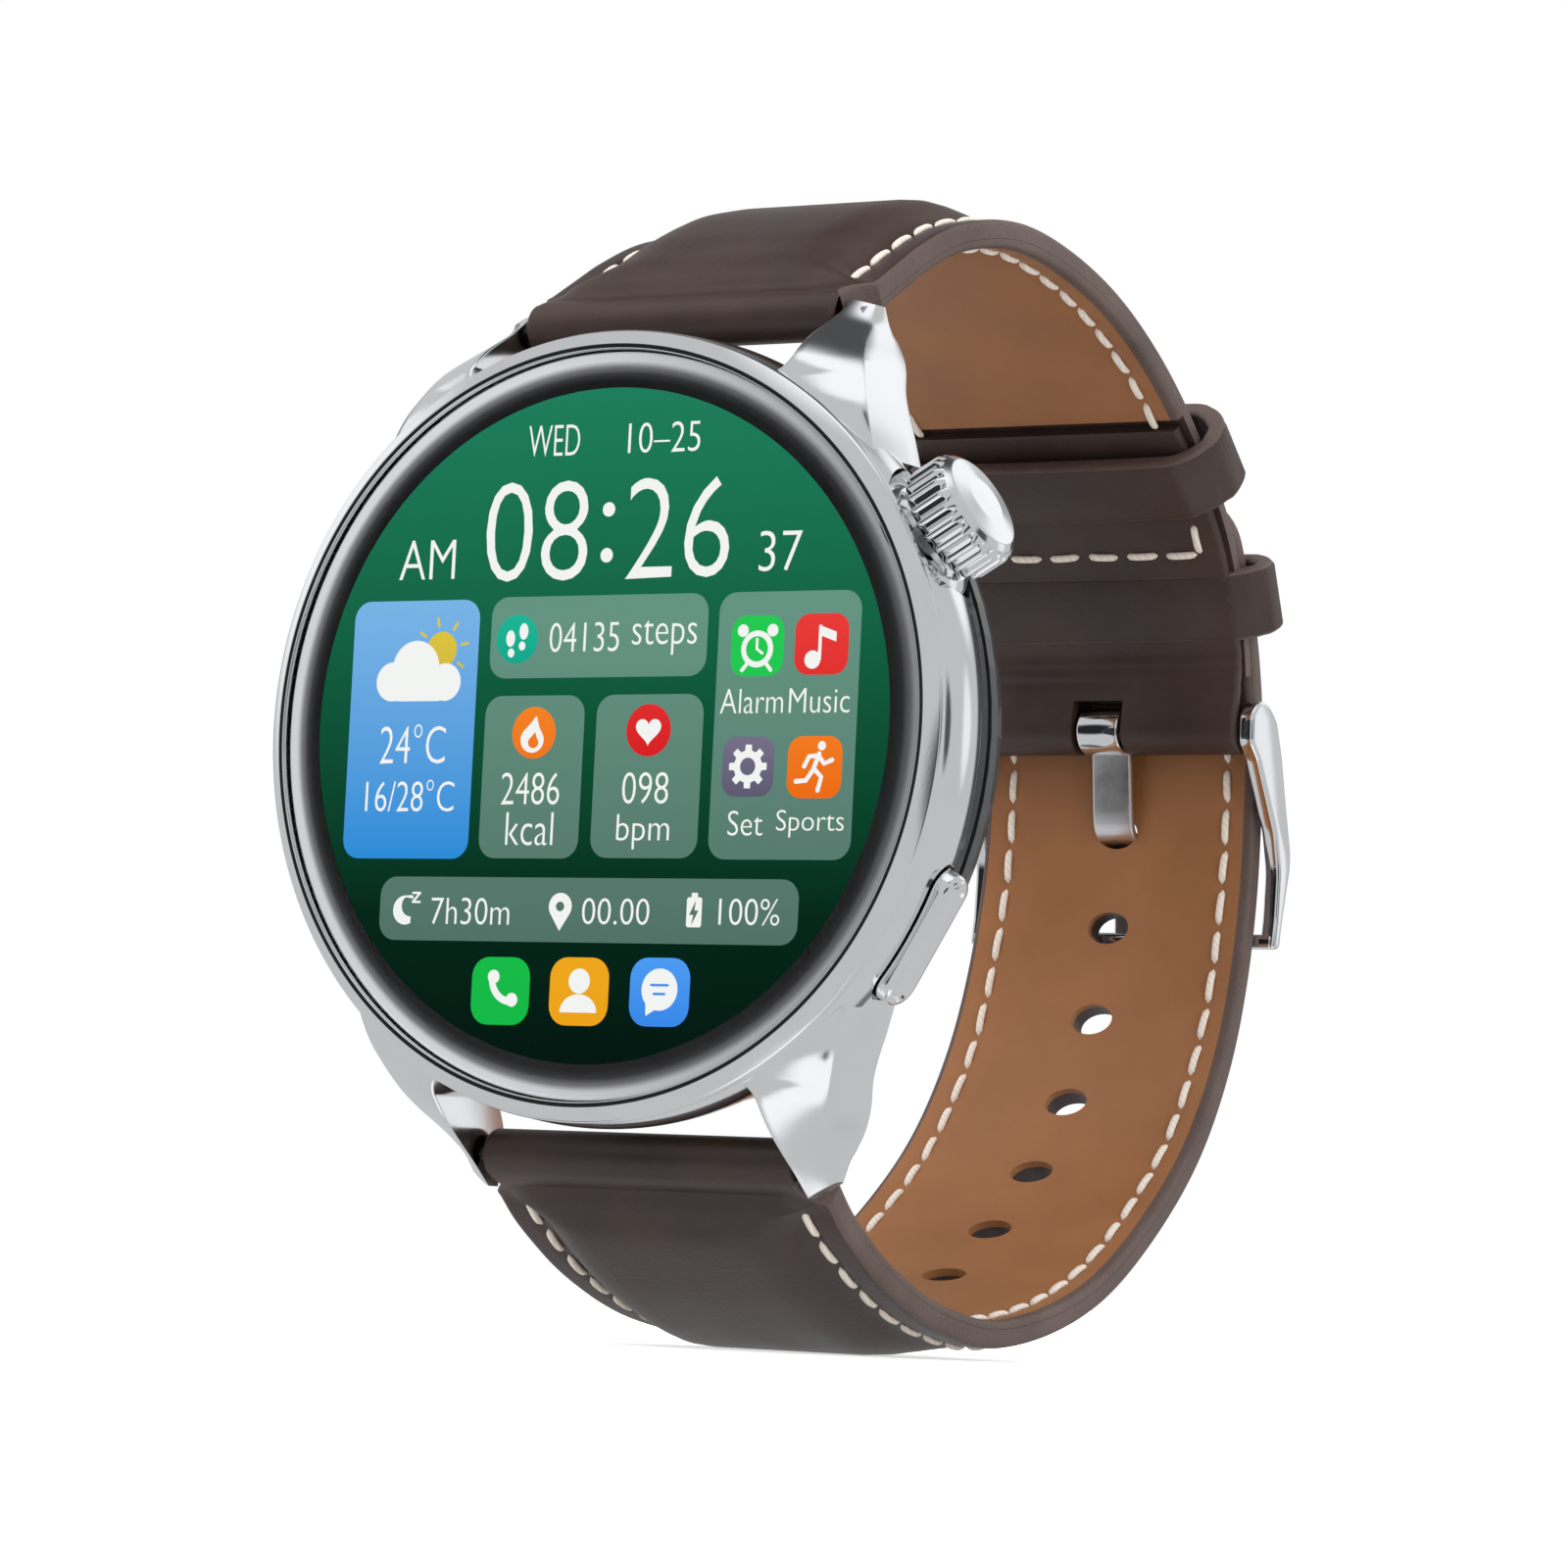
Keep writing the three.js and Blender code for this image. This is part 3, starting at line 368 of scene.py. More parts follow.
def smooth_line(points, count):
    """Evenly spaced points on a smooth curve through the given ones, with their tangents."""
    p = np.asarray(points, float)
    chord = np.sqrt(np.linalg.norm(np.diff(p, axis=0), axis=1))
    t = np.concatenate([[0], np.cumsum(chord)])
    slope = np.gradient(p, t, axis=0)
    fine = np.linspace(0, t[-1], 1500)
    i = np.clip(np.searchsorted(t, fine, "right") - 1, 0, len(t) - 2)
    h = (t[i + 1] - t[i])[:, None]
    u = ((fine - t[i]) / h[:, 0])[:, None]
    q = ((2 * u**3 - 3 * u**2 + 1) * p[i] + (u**3 - 2 * u**2 + u) * h * slope[i]
         + (3 * u**2 - 2 * u**3) * p[i + 1] + (u**3 - u**2) * h * slope[i + 1])
    run = np.concatenate([[0], np.cumsum(np.linalg.norm(np.diff(q, axis=0), axis=1))])
    at = np.linspace(0, run[-1], count)
    out = np.stack([np.interp(at, run, q[:, k]) for k in range(p.shape[1])], 1)
    tangent = np.gradient(out, axis=0)
    tangent /= np.linalg.norm(tangent, axis=1)[:, None]
    return out, tangent, at


def carved(ob, cutters):
    """Subtracts the cutter objects and removes them."""
    for c in cutters:
        mod = ob.modifiers.new("cut", "BOOLEAN")
        mod.object, mod.solver, mod.operation = c, "EXACT", "DIFFERENCE"
    dg = bpy.context.evaluated_depsgraph_get()
    mesh = bpy.data.meshes.new_from_object(ob.evaluated_get(dg))
    ob.modifiers.clear()
    old = ob.data
    ob.data = mesh
    bpy.data.meshes.remove(old)
    for c in cutters:
        bpy.data.objects.remove(c)
    mesh.set_sharp_from_angle(angle=math.radians(30))
    return ob


def cutter(points, faces):
    """A solid for carved()."""
    return piece("cutter", points, faces, CHROME, None)


def blend01(x, lo, hi):
    """Rises smoothly from 0 at lo to 1 at hi."""
    t = np.clip((np.asarray(x, float) - lo) / (hi - lo), 0, 1)
    return t * t * (3 - 2 * t)


# ---- watch head ------------------------------------------------------------------------------

CASE_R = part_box("mid_case")[1].x / MM
CASE_BORE = CASE_R - 3.4
CASE_FRONT, CASE_BACK = 0.95, 7.2
LUG_GAP = 22.0
CROWN_ANGLE, CROWN_DEPTH = 29.5, 4.3
CROWN_R, CROWN_ROOT, CROWN_TOP = 3.5, 22.85, 26.26
FLUTES, FLUTE_DEEP = 24, 0.5
BUTTON_ANGLE, BUTTON_DEPTH = -30.5, 4.4
BUTTON_LONG, BUTTON_WIDE = 8.4, 2.7
BUTTON_ROOM = 0.5


def build_case():
    """The barrel-shaped wall, with the crown's seat and the button's slot cut into it."""
    barrel = [(CASE_R - 0.5 * ((d - 3.1) / 2.4) ** 2, d) for d in np.linspace(1.3, 5.9, 16)]
    wall = rounded([(CASE_BORE, CASE_FRONT), (CASE_R - 0.45, CASE_FRONT), *barrel, (22.0, CASE_BACK),
                    (CASE_BORE, CASE_BACK)], [0, 0.12] + [0] * len(barrel) + [0.35, 0], 5)
    pts, faces = rings_mesh(turn_profile(wall, 240), closed_run=True)
    case = piece("case_ring", pts, faces, CHROME, "case", "mid_case", "polished_steel")
    crown = side_frame(CROWN_ANGLE, CROWN_DEPTH)
    seat = [(0, 21.25), (3.8, 21.25), (4.05, 21.9), (4.6, 26), (0, 26)]
    tube = [(0, 18), (2.5, 18), (2.5, 24), (0, 24)]
    slot = pill_rings(BUTTON_LONG + BUTTON_ROOM, BUTTON_WIDE + BUTTON_ROOM, [(0, 21.0), (0, 26)])
    carved(case, [cutter(*rings_mesh(turn_profile(seat, 64, crown), closed_run=True)),
                  cutter(*rings_mesh(turn_profile(tube, 40, crown), closed_run=True)), cutter(*slot)])


def pill_rings(length, width, rows, steps=14):
    """A slot shape on the side of the case at the button. Its rows are (inset, distance out)."""
    placed = side_frame(BUTTON_ANGLE, BUTTON_DEPTH)
    rings = []
    for inset, out in rows:
        r = width / 2 - inset
        half = length / 2 - width / 2
        ring = []
        for centre, start in ((half, -math.pi / 2), (-half, math.pi / 2)):
            for k in range(steps + 1):
                a = start + math.pi * k / steps
                ring.append((r * math.sin(a), out, centre + r * math.cos(a)))
        rings.append(placed(np.array(ring)))
    return rings_mesh(rings)


# Sections of a lug at growing heights z: depth of its front at the inner face, half width and depth
# of its outer crease, depth of its underside.
LUG_ROWS = [(15.2, 1.0, 16.85, 1.7, 7.1), (17, 1.0, 16.35, 1.95, 7.1), (18.4, 1.02, 15.85, 2.3, 7.2),
            (19.6, 1.2, 15.32, 2.9, 7.65), (21, 1.8, 14.65, 3.85, 8.7), (22, 2.6, 14.15, 4.7, 9.3),
            (23, 3.65, 13.65, 5.7, 9.72), (24, 4.95, 13.2, 6.8, 9.85), (25, 6.35, 12.8, 7.8, 9.75),
            (26.4, 8.15, 12.5, 8.65, 9.45)]
# How far the tips of the upper and lower lugs are drawn in, and how much more at their outer corner.
LUG_ENDS = {1: (1.0, 0.35), -1: (0.0, 0.95)}


def build_lugs():
    """Four lugs: a front that sweeps back, a sharp outer crease, flat inner faces and slanted ends."""
    rows = smooth_line(LUG_ROWS, 60)[0]
    for sz in (1, -1):
        drawn, slant = LUG_ENDS[sz]
        rings = []
        for z, front, crease_x, crease_d, under in rows:
            root = np.clip((21.4 - z) / 1.3, 0, 1)
            inner = LUG_GAP / 2 - 1.3 * (1 - math.sqrt(1 - root ** 2))
            a, b = np.array((inner, front)), np.array((crease_x, crease_d))
            c = np.array((crease_x + 0.1, under))
            along, down = (a - b) / np.linalg.norm(a - b), (c - b) / np.linalg.norm(c - b)
            out = np.array((-along[1], along[0]))
            out = out if out[1] < 0 else -out
            full = 0.45 + 2.4 * (1 - blend01(z, 17.8, 21.6))
            bowed = [a + (b - a) * t + out * (full * t * (1 - t)) for t in (0.15, 0.3, 0.45, 0.6, 0.75, 0.9)]
            bowed = [np.array((p[0], max(p[1], CASE_FRONT + 0.02))) for p in bowed]
            side = [b + (c - b) * t + np.array((0.3 * t * (1 - t), 0)) for t in (0.3, 0.7)]
            corners = [(inner, under), a, *bowed, b + along * 0.07, b + down * 0.07, *side, c]
            sect = rounded(corners, [0.3, 0.16] + [0] * 10 + [0.3], 3)
            share = (sect[:, 0] - LUG_GAP / 2) / (crease_x - LUG_GAP / 2)
            back = blend01(z, 20.5, 26.4) * (drawn + slant * share)
            rings.append(np.stack([sect[:, 0], sect[:, 1], z - back], 1))
        pts, faces = rings_mesh(rings)
        for sx in (1, -1):
            name = f"lug_{'upper' if sz > 0 else 'lower'}_{'right' if sx > 0 else 'left'}"
            piece(name, pts * (sx, 1, sz), faces, CHROME_SOFT, "case", "mid_case", "polished_steel", angle=24)


def build_bezel():
    """The sloping polished ring, on a dark seal that shows as a thin line under it."""
    ring = rounded([(21.6, -0.12), (21.95, -0.14), (22.75, 0.42), (22.85, 0.78), (22.2, 0.84), (21.6, 0.8)],
                   [0.1, 0.3, 0.25, 0.1, 0, 0], 6)
    pts, faces = rings_mesh(turn_profile(ring, 240), closed_run=True)
    piece("bezel", pts, faces, CHROME, "case", "bezel_ring", "polished_steel")
    seal = [(21.3, 0.75), (22.5, 0.75), (22.5, 1.1), (21.3, 1.1)]
    pts, faces = rings_mesh(turn_profile(seal, 200), closed_run=True)
    dark = plain("groove_seal", (0.02, 0.02, 0.021, 1), 0.5, 0.0, 0.15, 0.004)
    piece("bezel_seat", pts, faces, dark, "case", (), "gasket_rubber")


def build_glass():
    """Cover glass with rounded edge over a black printed border that carries a painted glow at its outer
    edge; the picture lies just under it.
    """
    edge = [(20.0 + 1.52 * math.sin(t), 0.55 * (1 - math.cos(t))) for t in np.linspace(0, math.pi / 2, 12)]
    top = [(0.0, 0.0), (10.0, 0.0), (19.2, 0.0)] + edge + [(21.52, 0.7), (0.0, 0.7)]
    glass = Mat("cover_glass", (1, 1, 1, 1), 0.02, 0.0, Transmission_Weight=1.0, IOR=1.46)
    smear = glass.noise(6, 3)
    glass.rough(smear, 0.35, 0.7, 0.0, 0.03)
    pts, faces = rings_mesh(turn_profile(top, 200), closed_run=True)
    piece("cover_glass_dome", pts, faces, glass.m, "case", "cover_glass", "cover_glass", angle=60)
    # The border carries a painted glow, a painted reflection of the room's light that the glass edge bends
    # in: it brightens towards the outer edge and is stronger on the left.
    rim = Mat("border_print_painted_glow", (0.004, 0.004, 0.005, 1), 0.35)
    flat = rim.node("ShaderNodeVectorMath", operation="MULTIPLY")
    flat.inputs[1].default_value = (1 / MM, 0, 1 / MM)
    rim.link(rim.coords, flat.inputs[0])
    reach = rim.node("ShaderNodeVectorMath", operation="LENGTH")
    rim.link(flat.outputs["Vector"], reach.inputs[0])
    split = rim.node("ShaderNodeSeparateXYZ")
    rim.link(flat.outputs["Vector"], split.inputs[0])
    speck = rim.noise(0.6, 3)
    painted_glow = rim.added(rim.remap(reach.outputs["Value"], 19.8, 20.95, 0, 1), speck, 0.02)
    stops = [(0.05, (0, 0, 0, 1)), (0.4, (0.03, 0.03, 0.032, 1)), (0.75, (0.2, 0.2, 0.21, 1)),
             (1.0, (0.62, 0.63, 0.65, 1))]
    # Painted glow: the emission colour rises towards the border's outer edge, and its strength falls from
    # left to right.
    rim.link(rim.ramp(painted_glow, stops), rim.b.inputs["Emission Color"])
    rim.link(rim.remap(split.outputs["X"], -5, 21, 1.0, 0.3), rim.b.inputs["Emission Strength"])
    ring = [(19.45, 0.74), (21.5, 0.74), (21.5, 0.9), (19.45, 0.9)]
    pts, faces = rings_mesh(turn_profile(ring, 160), closed_run=True)
    piece("glass_border", pts, faces, rim.m, "case", (), "black_plastic")
    return glass.m


build_case()
build_lugs()
build_bezel()
GLASS = build_glass()

# ---- screen ----------------------------------------------------------------------------------

SCREEN_D = 0.8  # depth of the lit panel
SCREEN_R = 19.7
SHEET = 0.02  # thickness of one layer of the picture
LETTER_THINNING = -0.012  # how far the outline of the letters is drawn in, as a share of their size


def lit(name, top, bottom=None, z=(0, 1)):
    """A glowing screen colour, even or running from top to bottom between two heights in mm."""
    stops = top if isinstance(top, list) else [(0, bottom or top), (1, top)]
    m = Mat(name, (0, 0, 0, 1), 0.4, Specular_IOR_Level=0.0, Emission_Strength=1.0)
    split = m.node("ShaderNodeSeparateXYZ")
    m.link(m.coords, split.inputs[0])
    height = m.remap(split.outputs["Z"], z[0] * MM, z[1] * MM, 0, 1)
    m.link(m.ramp(height, stops), m.b.inputs["Emission Color"])
    return m.m


WHITE = lit("screen_white", srgb(250, 252, 250))
GREENS = lit("screen_green", [(0, srgb(0, 22, 14)), (0.22, srgb(2, 40, 26)), (0.5, srgb(12, 84, 56)),
                              (0.8, srgb(24, 116, 82)), (1, srgb(30, 130, 96))], z=(-19.5, 19.5))
TILE = lit("screen_tile", srgb(104, 152, 134), srgb(84, 116, 106), z=(-13, 6))


def rect(x0, x1, z0, z1, r):
    return rounded([(x0, z0), (x1, z0), (x1, z1), (x0, z1)], r, 6)


def circle(x, z, r, n=32, start=0.0, sweep=2 * math.pi):
    a = start + np.linspace(0, sweep, n, endpoint=abs(sweep) < 6.28)
    return np.stack([x + r * np.cos(a), z + r * np.sin(a)], 1)


def stroke(points, width, n=8):
    """The outline of a line of even width with round ends."""
    p = np.asarray(points, float)
    d = np.gradient(p, axis=0)
    d /= np.maximum(np.linalg.norm(d, axis=1), 1e-9)[:, None]
    nrm = np.stack([-d[:, 1], d[:, 0]], 1) * width / 2
    a0 = math.atan2(nrm[0][1], nrm[0][0])
    a1 = math.atan2(-nrm[-1][1], -nrm[-1][0])

    def cap(at, a):
        turns = [a + math.pi - math.pi * k / n for k in range(n + 1)]
        return [at + width / 2 * np.array((math.cos(t), math.sin(t))) for t in turns]

    return np.array(cap(p[0], a0) + list((p + nrm)[1:-1]) + cap(p[-1], a1) + list((p - nrm)[1:-1][::-1]))


class Picture:
    """Collects the screen's thin shapes. Those of one name have one colour and become one piece."""

    def __init__(self):
        self.groups = {}

    def add(self, name, mat, pts, faces):
        verts, polys, _ = self.groups.setdefault(name, ([], [], mat))
        base = len(verts)
        verts.extend(np.asarray(pts, float).tolist())
        polys.extend([tuple(i + base for i in f) for f in faces])

    def plate(self, name, mat, outline, level=0):
        top = SCREEN_D - SHEET * (level + 1)
        self.add(name, mat, *prism(np.asarray(outline, float), top, SCREEN_D - SHEET * level, plane="xz"))

    def words(self, name, mat, text, box, level=1, thin=0.0):
        """Text fitted to a box (x0, x1, z0, z1)."""
        curve = bpy.data.curves.new("words", "FONT")
        curve.body, curve.size, curve.offset, curve.extrude = text, 1.0, thin, 0.01
        curve.resolution_u = 4
        ob = bpy.data.objects.new("words", curve)
        bpy.context.scene.collection.objects.link(ob)
        bpy.context.view_layer.update()
        mesh = bpy.data.meshes.new_from_object(ob.evaluated_get(bpy.context.evaluated_depsgraph_get()))
        co = np.array([v.co for v in mesh.vertices])
        faces = [tuple(p.vertices) for p in mesh.polygons]
        lo, hi = co.min(0), co.max(0)
        x0, x1, z0, z1 = box
        top = SCREEN_D - SHEET * (level + 1)
        pts = np.stack([x0 + (co[:, 0] - lo[0]) / (hi[0] - lo[0]) * (x1 - x0),
                        np.where(co[:, 2] > 0, top, top + SHEET),
                        z0 + (co[:, 1] - lo[1]) / (hi[1] - lo[1]) * (z1 - z0)], 1)
        self.add(name, mat, pts, faces)
        bpy.data.objects.remove(ob)
        bpy.data.curves.remove(curve)
        bpy.data.meshes.remove(mesh)

    def build(self):
        for name, (verts, faces, mat) in self.groups.items():
            piece(name, verts, faces, mat, "case", (), "display", smooth=False)


def heart(x, z, size):
    """The outline of a heart."""
    t = np.linspace(0, 2 * math.pi, 40, endpoint=False)
    rise = 13 * np.cos(t) - 5 * np.cos(2 * t) - 2 * np.cos(3 * t) - np.cos(4 * t)
    return np.stack([x + size * np.sin(t) ** 3, z + size * rise / 16], 1)


def flame(x, z, size):
    t = np.linspace(0, 2 * math.pi, 36, endpoint=False)
    r = size * (0.62 + 0.16 * np.cos(t - 4.2))
    up = np.maximum(np.sin(t), 0) ** 5
    return np.stack([x + r * np.cos(t) * (1 - 0.55 * up) + 0.12 * size * up,
                     z + r * np.sin(t) * 0.95 + 0.5 * size * up], 1)


def cog(x, z, r, teeth=8):
    out = []
    for i in range(teeth):
        for k, (f, g) in enumerate(((-0.3, 0.74), (-0.2, 1.0), (0.2, 1.0), (0.3, 0.74))):
            a = 2 * math.pi * (i + f) / teeth
            out.append((x + r * g * math.cos(a), z + r * g * math.sin(a)))
    return out


def build_screen():
    """The lit panel and the picture on it: a clock over tiles of readings and buttons."""
    panel = [(0, SCREEN_D), (SCREEN_R, SCREEN_D), (SCREEN_R, 2.5), (0, 2.5)]
    pts, faces = rings_mesh(turn_profile(panel, 128), closed_run=True)
    piece("screen_panel", pts, faces, GREENS, "case", "display_panel", "display")
    pic = Picture()
    orange = lit("screen_orange", srgb(252, 134, 38), srgb(244, 110, 20), z=(-4.3, 1.1))
    red = lit("screen_red", srgb(240, 62, 58), srgb(222, 32, 36), z=(-2, 6.3))
    inks = {
        "tiles_blue": lit("screen_blue", srgb(126, 186, 238), srgb(44, 144, 222), z=(-7.7, 7.4)),
        "tiles": TILE,
        "glyphs": WHITE,
        "time": WHITE,
        "cloud": WHITE,
        "sun": lit("screen_sunny", srgb(232, 206, 60), srgb(214, 190, 70), z=(2.5, 6.5)),
        "badge_teal": lit("screen_teal", srgb(30, 190, 158), srgb(18, 170, 140), z=(3, 7)),
        "badge_orange": orange,
        "badge_red": red,
        "button_green": lit("screen_bright_green", srgb(36, 208, 84), srgb(20, 190, 72), z=(-17.3, 6.2)),
        "button_red": red,
        "button_violet": lit("screen_violet", srgb(122, 116, 140), srgb(96, 92, 116), z=(-4.2, -0.7)),
        "button_amber": lit("screen_amber", srgb(250, 190, 40), srgb(244, 168, 26), z=(-17.3, 5.5)),
        "button_sky": lit("screen_message", srgb(78, 160, 250), srgb(58, 140, 240), z=(-17.2, -13.3)),
    }

    def draw(ink, outline, level=0):
        pic.plate("screen_" + ink, inks[ink], outline, level)

    def glyph(outline, level):
        draw("glyphs", outline, level)

    draw("tiles_blue", rect(-17.3, -8.45, -7.75, 7.35, 1.1))
    for box in ((-7.6, 7.2, 2.72, 7.45), (-7.7, -0.85, -7.7, 1.7), (0.0, 7.2, -7.65, 1.7),
                (7.95, 17.3, -7.7, 7.45), (-14.4, 14.1, -12.5, -8.8)):
        draw("tiles", rect(*box, 1.1))

    text = (("WED", (-5.67, -2.13, 15.6, 17.4)), ("10–25", (1.2, 6.07, 15.6, 17.35)),
            ("AM", (-14.3, -10.4, 8.6, 10.9)), ("37", (10.4, 13.2, 8.6, 10.9)),
            ("24°C", (-15.0, -10.4, -2.2, 0.1)), ("16/28°C", (-15.85, -9.6, -5.0, -3.15)),
            ("04135", (-3.5, 1.25, 4.2, 5.9)), ("steps", (2.15, 6.5, 3.95, 5.95)),
            ("2486", (-6.3, -2.3, -4.6, -2.75)), ("kcal", (-5.85, -2.6, -6.95, -5.05)),
            ("098", (2.0, 5.1, -4.55, -2.75)), ("bpm", (1.75, 5.3, -7.15, -5.15)),
            ("Alarm", (8.3, 12.45, 0.55, 1.95)), ("Music", (12.85, 16.8, 0.55, 1.95)),
            ("Set", (9.2, 11.5, -6.35, -4.95)), ("Sports", (12.4, 16.8, -6.45, -4.9)),
            ("7h30m", (-10.75, -5.3, -11.55, -10.0)), ("00.00", (-0.3, 4.25, -11.45, -9.95)),
            ("100%", (8.9, 12.9, -11.4, -9.9)))
    for words, box in text:
        pic.words("screen_words", WHITE, words, box, 1, LETTER_THINNING)
    for words, x0, x1 in (("08", -8.3, -1.25), ("26", 1.45, 8.35)):
        pic.words("screen_time", WHITE, words, (x0, x1, 8.35, 14.15), 0, LETTER_THINNING)
    for z in (9.75, 12.4):
        draw("time", circle(0.1, z, 0.42, 20), 0)

    # weather: a sun behind a cloud
    draw("sun", circle(-11.0, 4.45, 1.05), 1)
    for k in range(8):
        a = math.pi * k / 4 + 0.2
        ray = [(-11 + r * math.cos(a), 4.45 + r * math.sin(a)) for r in (1.4, 1.85)]
        draw("sun", stroke(ray, 0.16), 1)
    for x, z, r in ((-14.35, 2.6, 1.15), (-12.75, 3.35, 1.65), (-10.65, 2.55, 1.1)):
        draw("cloud", circle(x, z, r), 2)
    draw("cloud", rect(-14.6, -10.4, 1.45, 2.9, 0.7), 2)

    # round badges of steps, energy and pulse
    draw("badge_teal", circle(-5.75, 5.0, 1.42), 1)
    for x, z, lean in ((-6.2, 4.85, 0.08), (-5.3, 5.25, -0.08)):
        glyph(circle(0, 0, 1, 20) * (0.3, 0.48) + (x, z + 0.18), 2)
        glyph(circle(0, 0, 1, 16) * (0.22, 0.26) + (x + lean, z - 0.66), 2)
    draw("badge_orange", circle(-4.25, -0.45, 1.5), 1)
    glyph(flame(-4.25, -0.7, 1.25), 2)
    draw("badge_orange", flame(-4.2, -0.95, 0.55), 3)
    draw("badge_red", circle(3.58, -0.35, 1.5), 1)
    glyph(heart(3.58, -0.35, 0.85), 2)

    # the four square buttons on the right
    draw("button_green", rect(8.85, 12.3, 2.65, 6.1, 0.9), 1)
    glyph(circle(10.58, 4.2, 1.05), 2)
    draw("button_green", circle(10.58, 4.2, 0.72), 3)
    for sx in (-1, 1):
        glyph(circle(10.58 + sx * 0.98, 5.25, 0.36, 16), 2)
        glyph(stroke([(10.58 + sx * 0.6, 3.4), (10.58 + sx * 0.95, 3.0)], 0.22), 2)
    glyph(stroke([(10.58, 4.75), (10.58, 4.2), (10.95, 3.95)], 0.16), 4)
    draw("button_red", rect(13.05, 16.55, 2.7, 6.15, 0.9), 1)
    glyph(circle(14.25, 3.55, 0.52, 20), 2)
    glyph(rect(14.6, 14.8, 3.5, 5.5, 0.05), 2)
    glyph([(14.6, 5.5), (15.75, 5.1), (15.75, 4.55), (14.6, 4.95)], 2)
    draw("button_violet", rect(8.65, 12.05, -4.15, -0.75, 0.9), 1)
    glyph(cog(10.35, -2.45, 1.25), 2)
    draw("button_violet", circle(10.35, -2.45, 0.5, 24), 3)
    draw("badge_orange", rect(12.95, 16.5, -4.25, -0.75, 0.9), 1)
    glyph(circle(15.15, -1.3, 0.26, 18), 2)
    for line in ([(15.0, -1.75), (14.65, -2.65)], [(14.7, -2.6), (15.2, -3.05), (15.0, -3.8)],
                 [(14.65, -2.65), (14.2, -3.25), (13.55, -3.3)],
                 [(14.95, -1.85), (14.35, -1.9), (14.05, -2.45)],
                 [(14.95, -1.85), (15.35, -2.3), (15.85, -2.1)]):
        glyph(stroke(line, 0.27), 2)

    # bottom line: sleep, distance and battery
    a = np.linspace(0.9, 5.2, 22)
    moon = [(-12.6 + 0.85 * math.cos(t), -10.75 + 0.85 * math.sin(t)) for t in a]
    moon += [(-12.25 + 0.62 * math.cos(t), -10.5 + 0.62 * math.sin(t)) for t in a[::-1][2:-2]]
    glyph(moon, 1)
    for line in ([(-12.1, -9.75), (-11.6, -9.75)], [(-11.62, -9.77), (-12.08, -10.25)],
                 [(-12.1, -10.27), (-11.6, -10.27)]):
        glyph(stroke(line, 0.13), 1)
    turns = np.linspace(-0.5, math.pi + 0.5, 24)
    pin = [(-1.81 + 0.78 * math.cos(t), -10.45 + 0.78 * math.sin(t)) for t in turns]
    glyph(pin + [(-1.81, -11.85)], 1)
    draw("tiles", circle(-1.81, -10.45, 0.28, 18), 2)
    glyph(rect(6.75, 7.75, -11.55, -9.85, 0.15), 1)
    glyph(rect(7.05, 7.45, -9.87, -9.6, 0.05), 1)
    bolt = [(7.35, -10.05), (6.95, -10.85), (7.22, -10.85), (7.12, -11.4), (7.55, -10.6), (7.28, -10.6)]
    draw("tiles", bolt, 2)

    # three round-cornered buttons along the bottom
    draw("button_green", rect(-7.65, -3.65, -17.3, -13.4, 1.15), 0)
    handset = [(-5.65 + 1.35 * math.cos(t) + 0.75, -15.35 + 1.35 * math.sin(t) + 0.75)
               for t in np.linspace(math.pi * 1.02, math.pi * 1.48, 12)]
    glyph(stroke(handset, 0.42), 1)
    for x, z in ((handset[0][0] + 0.1, handset[0][1] + 0.15), (handset[-1][0] + 0.15, handset[-1][1] + 0.1)):
        glyph(circle(x, z, 0.4, 18), 1)
    draw("button_amber", rect(-2.25, 1.75, -17.25, -13.35, 1.15), 0)
    glyph(circle(-0.25, -14.7, 0.72, 24), 1)
    turns = np.linspace(0, math.pi, 20)
    shoulders = [(-0.25 + 1.25 * math.cos(t), -16.5 + 1.05 * math.sin(t)) for t in turns]
    glyph(shoulders, 1)
    draw("button_sky", rect(3.2, 7.2, -17.2, -13.3, 1.15), 0)
    glyph(circle(5.2, -15.1, 1.2, 30), 1)
    glyph([(4.3, -15.8), (4.35, -16.6), (5.2, -16.1)], 1)
    for z, half in ((-14.85, 0.55), (-15.35, 0.35)):
        draw("button_sky", stroke([(5.2 - half, z), (5.2 + half, z)], 0.15), 2)
    pic.build()


build_screen()

# ---- crown and button ------------------------------------------------------------------------


def build_crown():
    """A fluted knob with a bowed face. Its back stays clear of the collar when it is pressed in."""
    placed = side_frame(CROWN_ANGLE, CROWN_DEPTH)
    profile = rounded([(0.8, CROWN_ROOT), (2.6, CROWN_ROOT), (CROWN_R, 23.15), (CROWN_R, 25.2), (3.15, 25.7),
                       (2.8, 25.95), (1.4, 26.2), (0, CROWN_TOP)], [0, 0.3, 0.35, 0.4, 0.2, 0.3, 0.8, 0], 5)
    dense = []
    for a, b in zip(profile, profile[1:]):
        n = max(1, int(np.linalg.norm(b - a) / 0.25))
        dense += [a + (b - a) * k / n for k in range(n)]
    dense = np.array(dense + [profile[-1], (0, CROWN_ROOT)])

    def flute(a, out):
        groove = abs(math.cos(a * FLUTES / 2)) ** 3
        return FLUTE_DEEP * groove * blend01(out, 22.75, 23.15) * (1 - blend01(out, 25.1, 25.65))

    pts, faces = rings_mesh(turn_profile(dense, FLUTES * 12, placed, flute), closed_run=True)
    piece("crown_knob", pts, faces, CHROME, "crown", "crown_cap", "polished_steel", angle=50)
    collar = rounded([(2.35, 21.2), (3.75, 21.2), (3.75, 21.9), (3.05, 22.38), (2.35, 22.38)],
                     [0, 0.05, 0.55, 0.25, 0], 5)
    piece("crown_collar", *rings_mesh(turn_profile(collar, 80, placed), closed_run=True), CHROME, "case", (),
          "polished_steel")


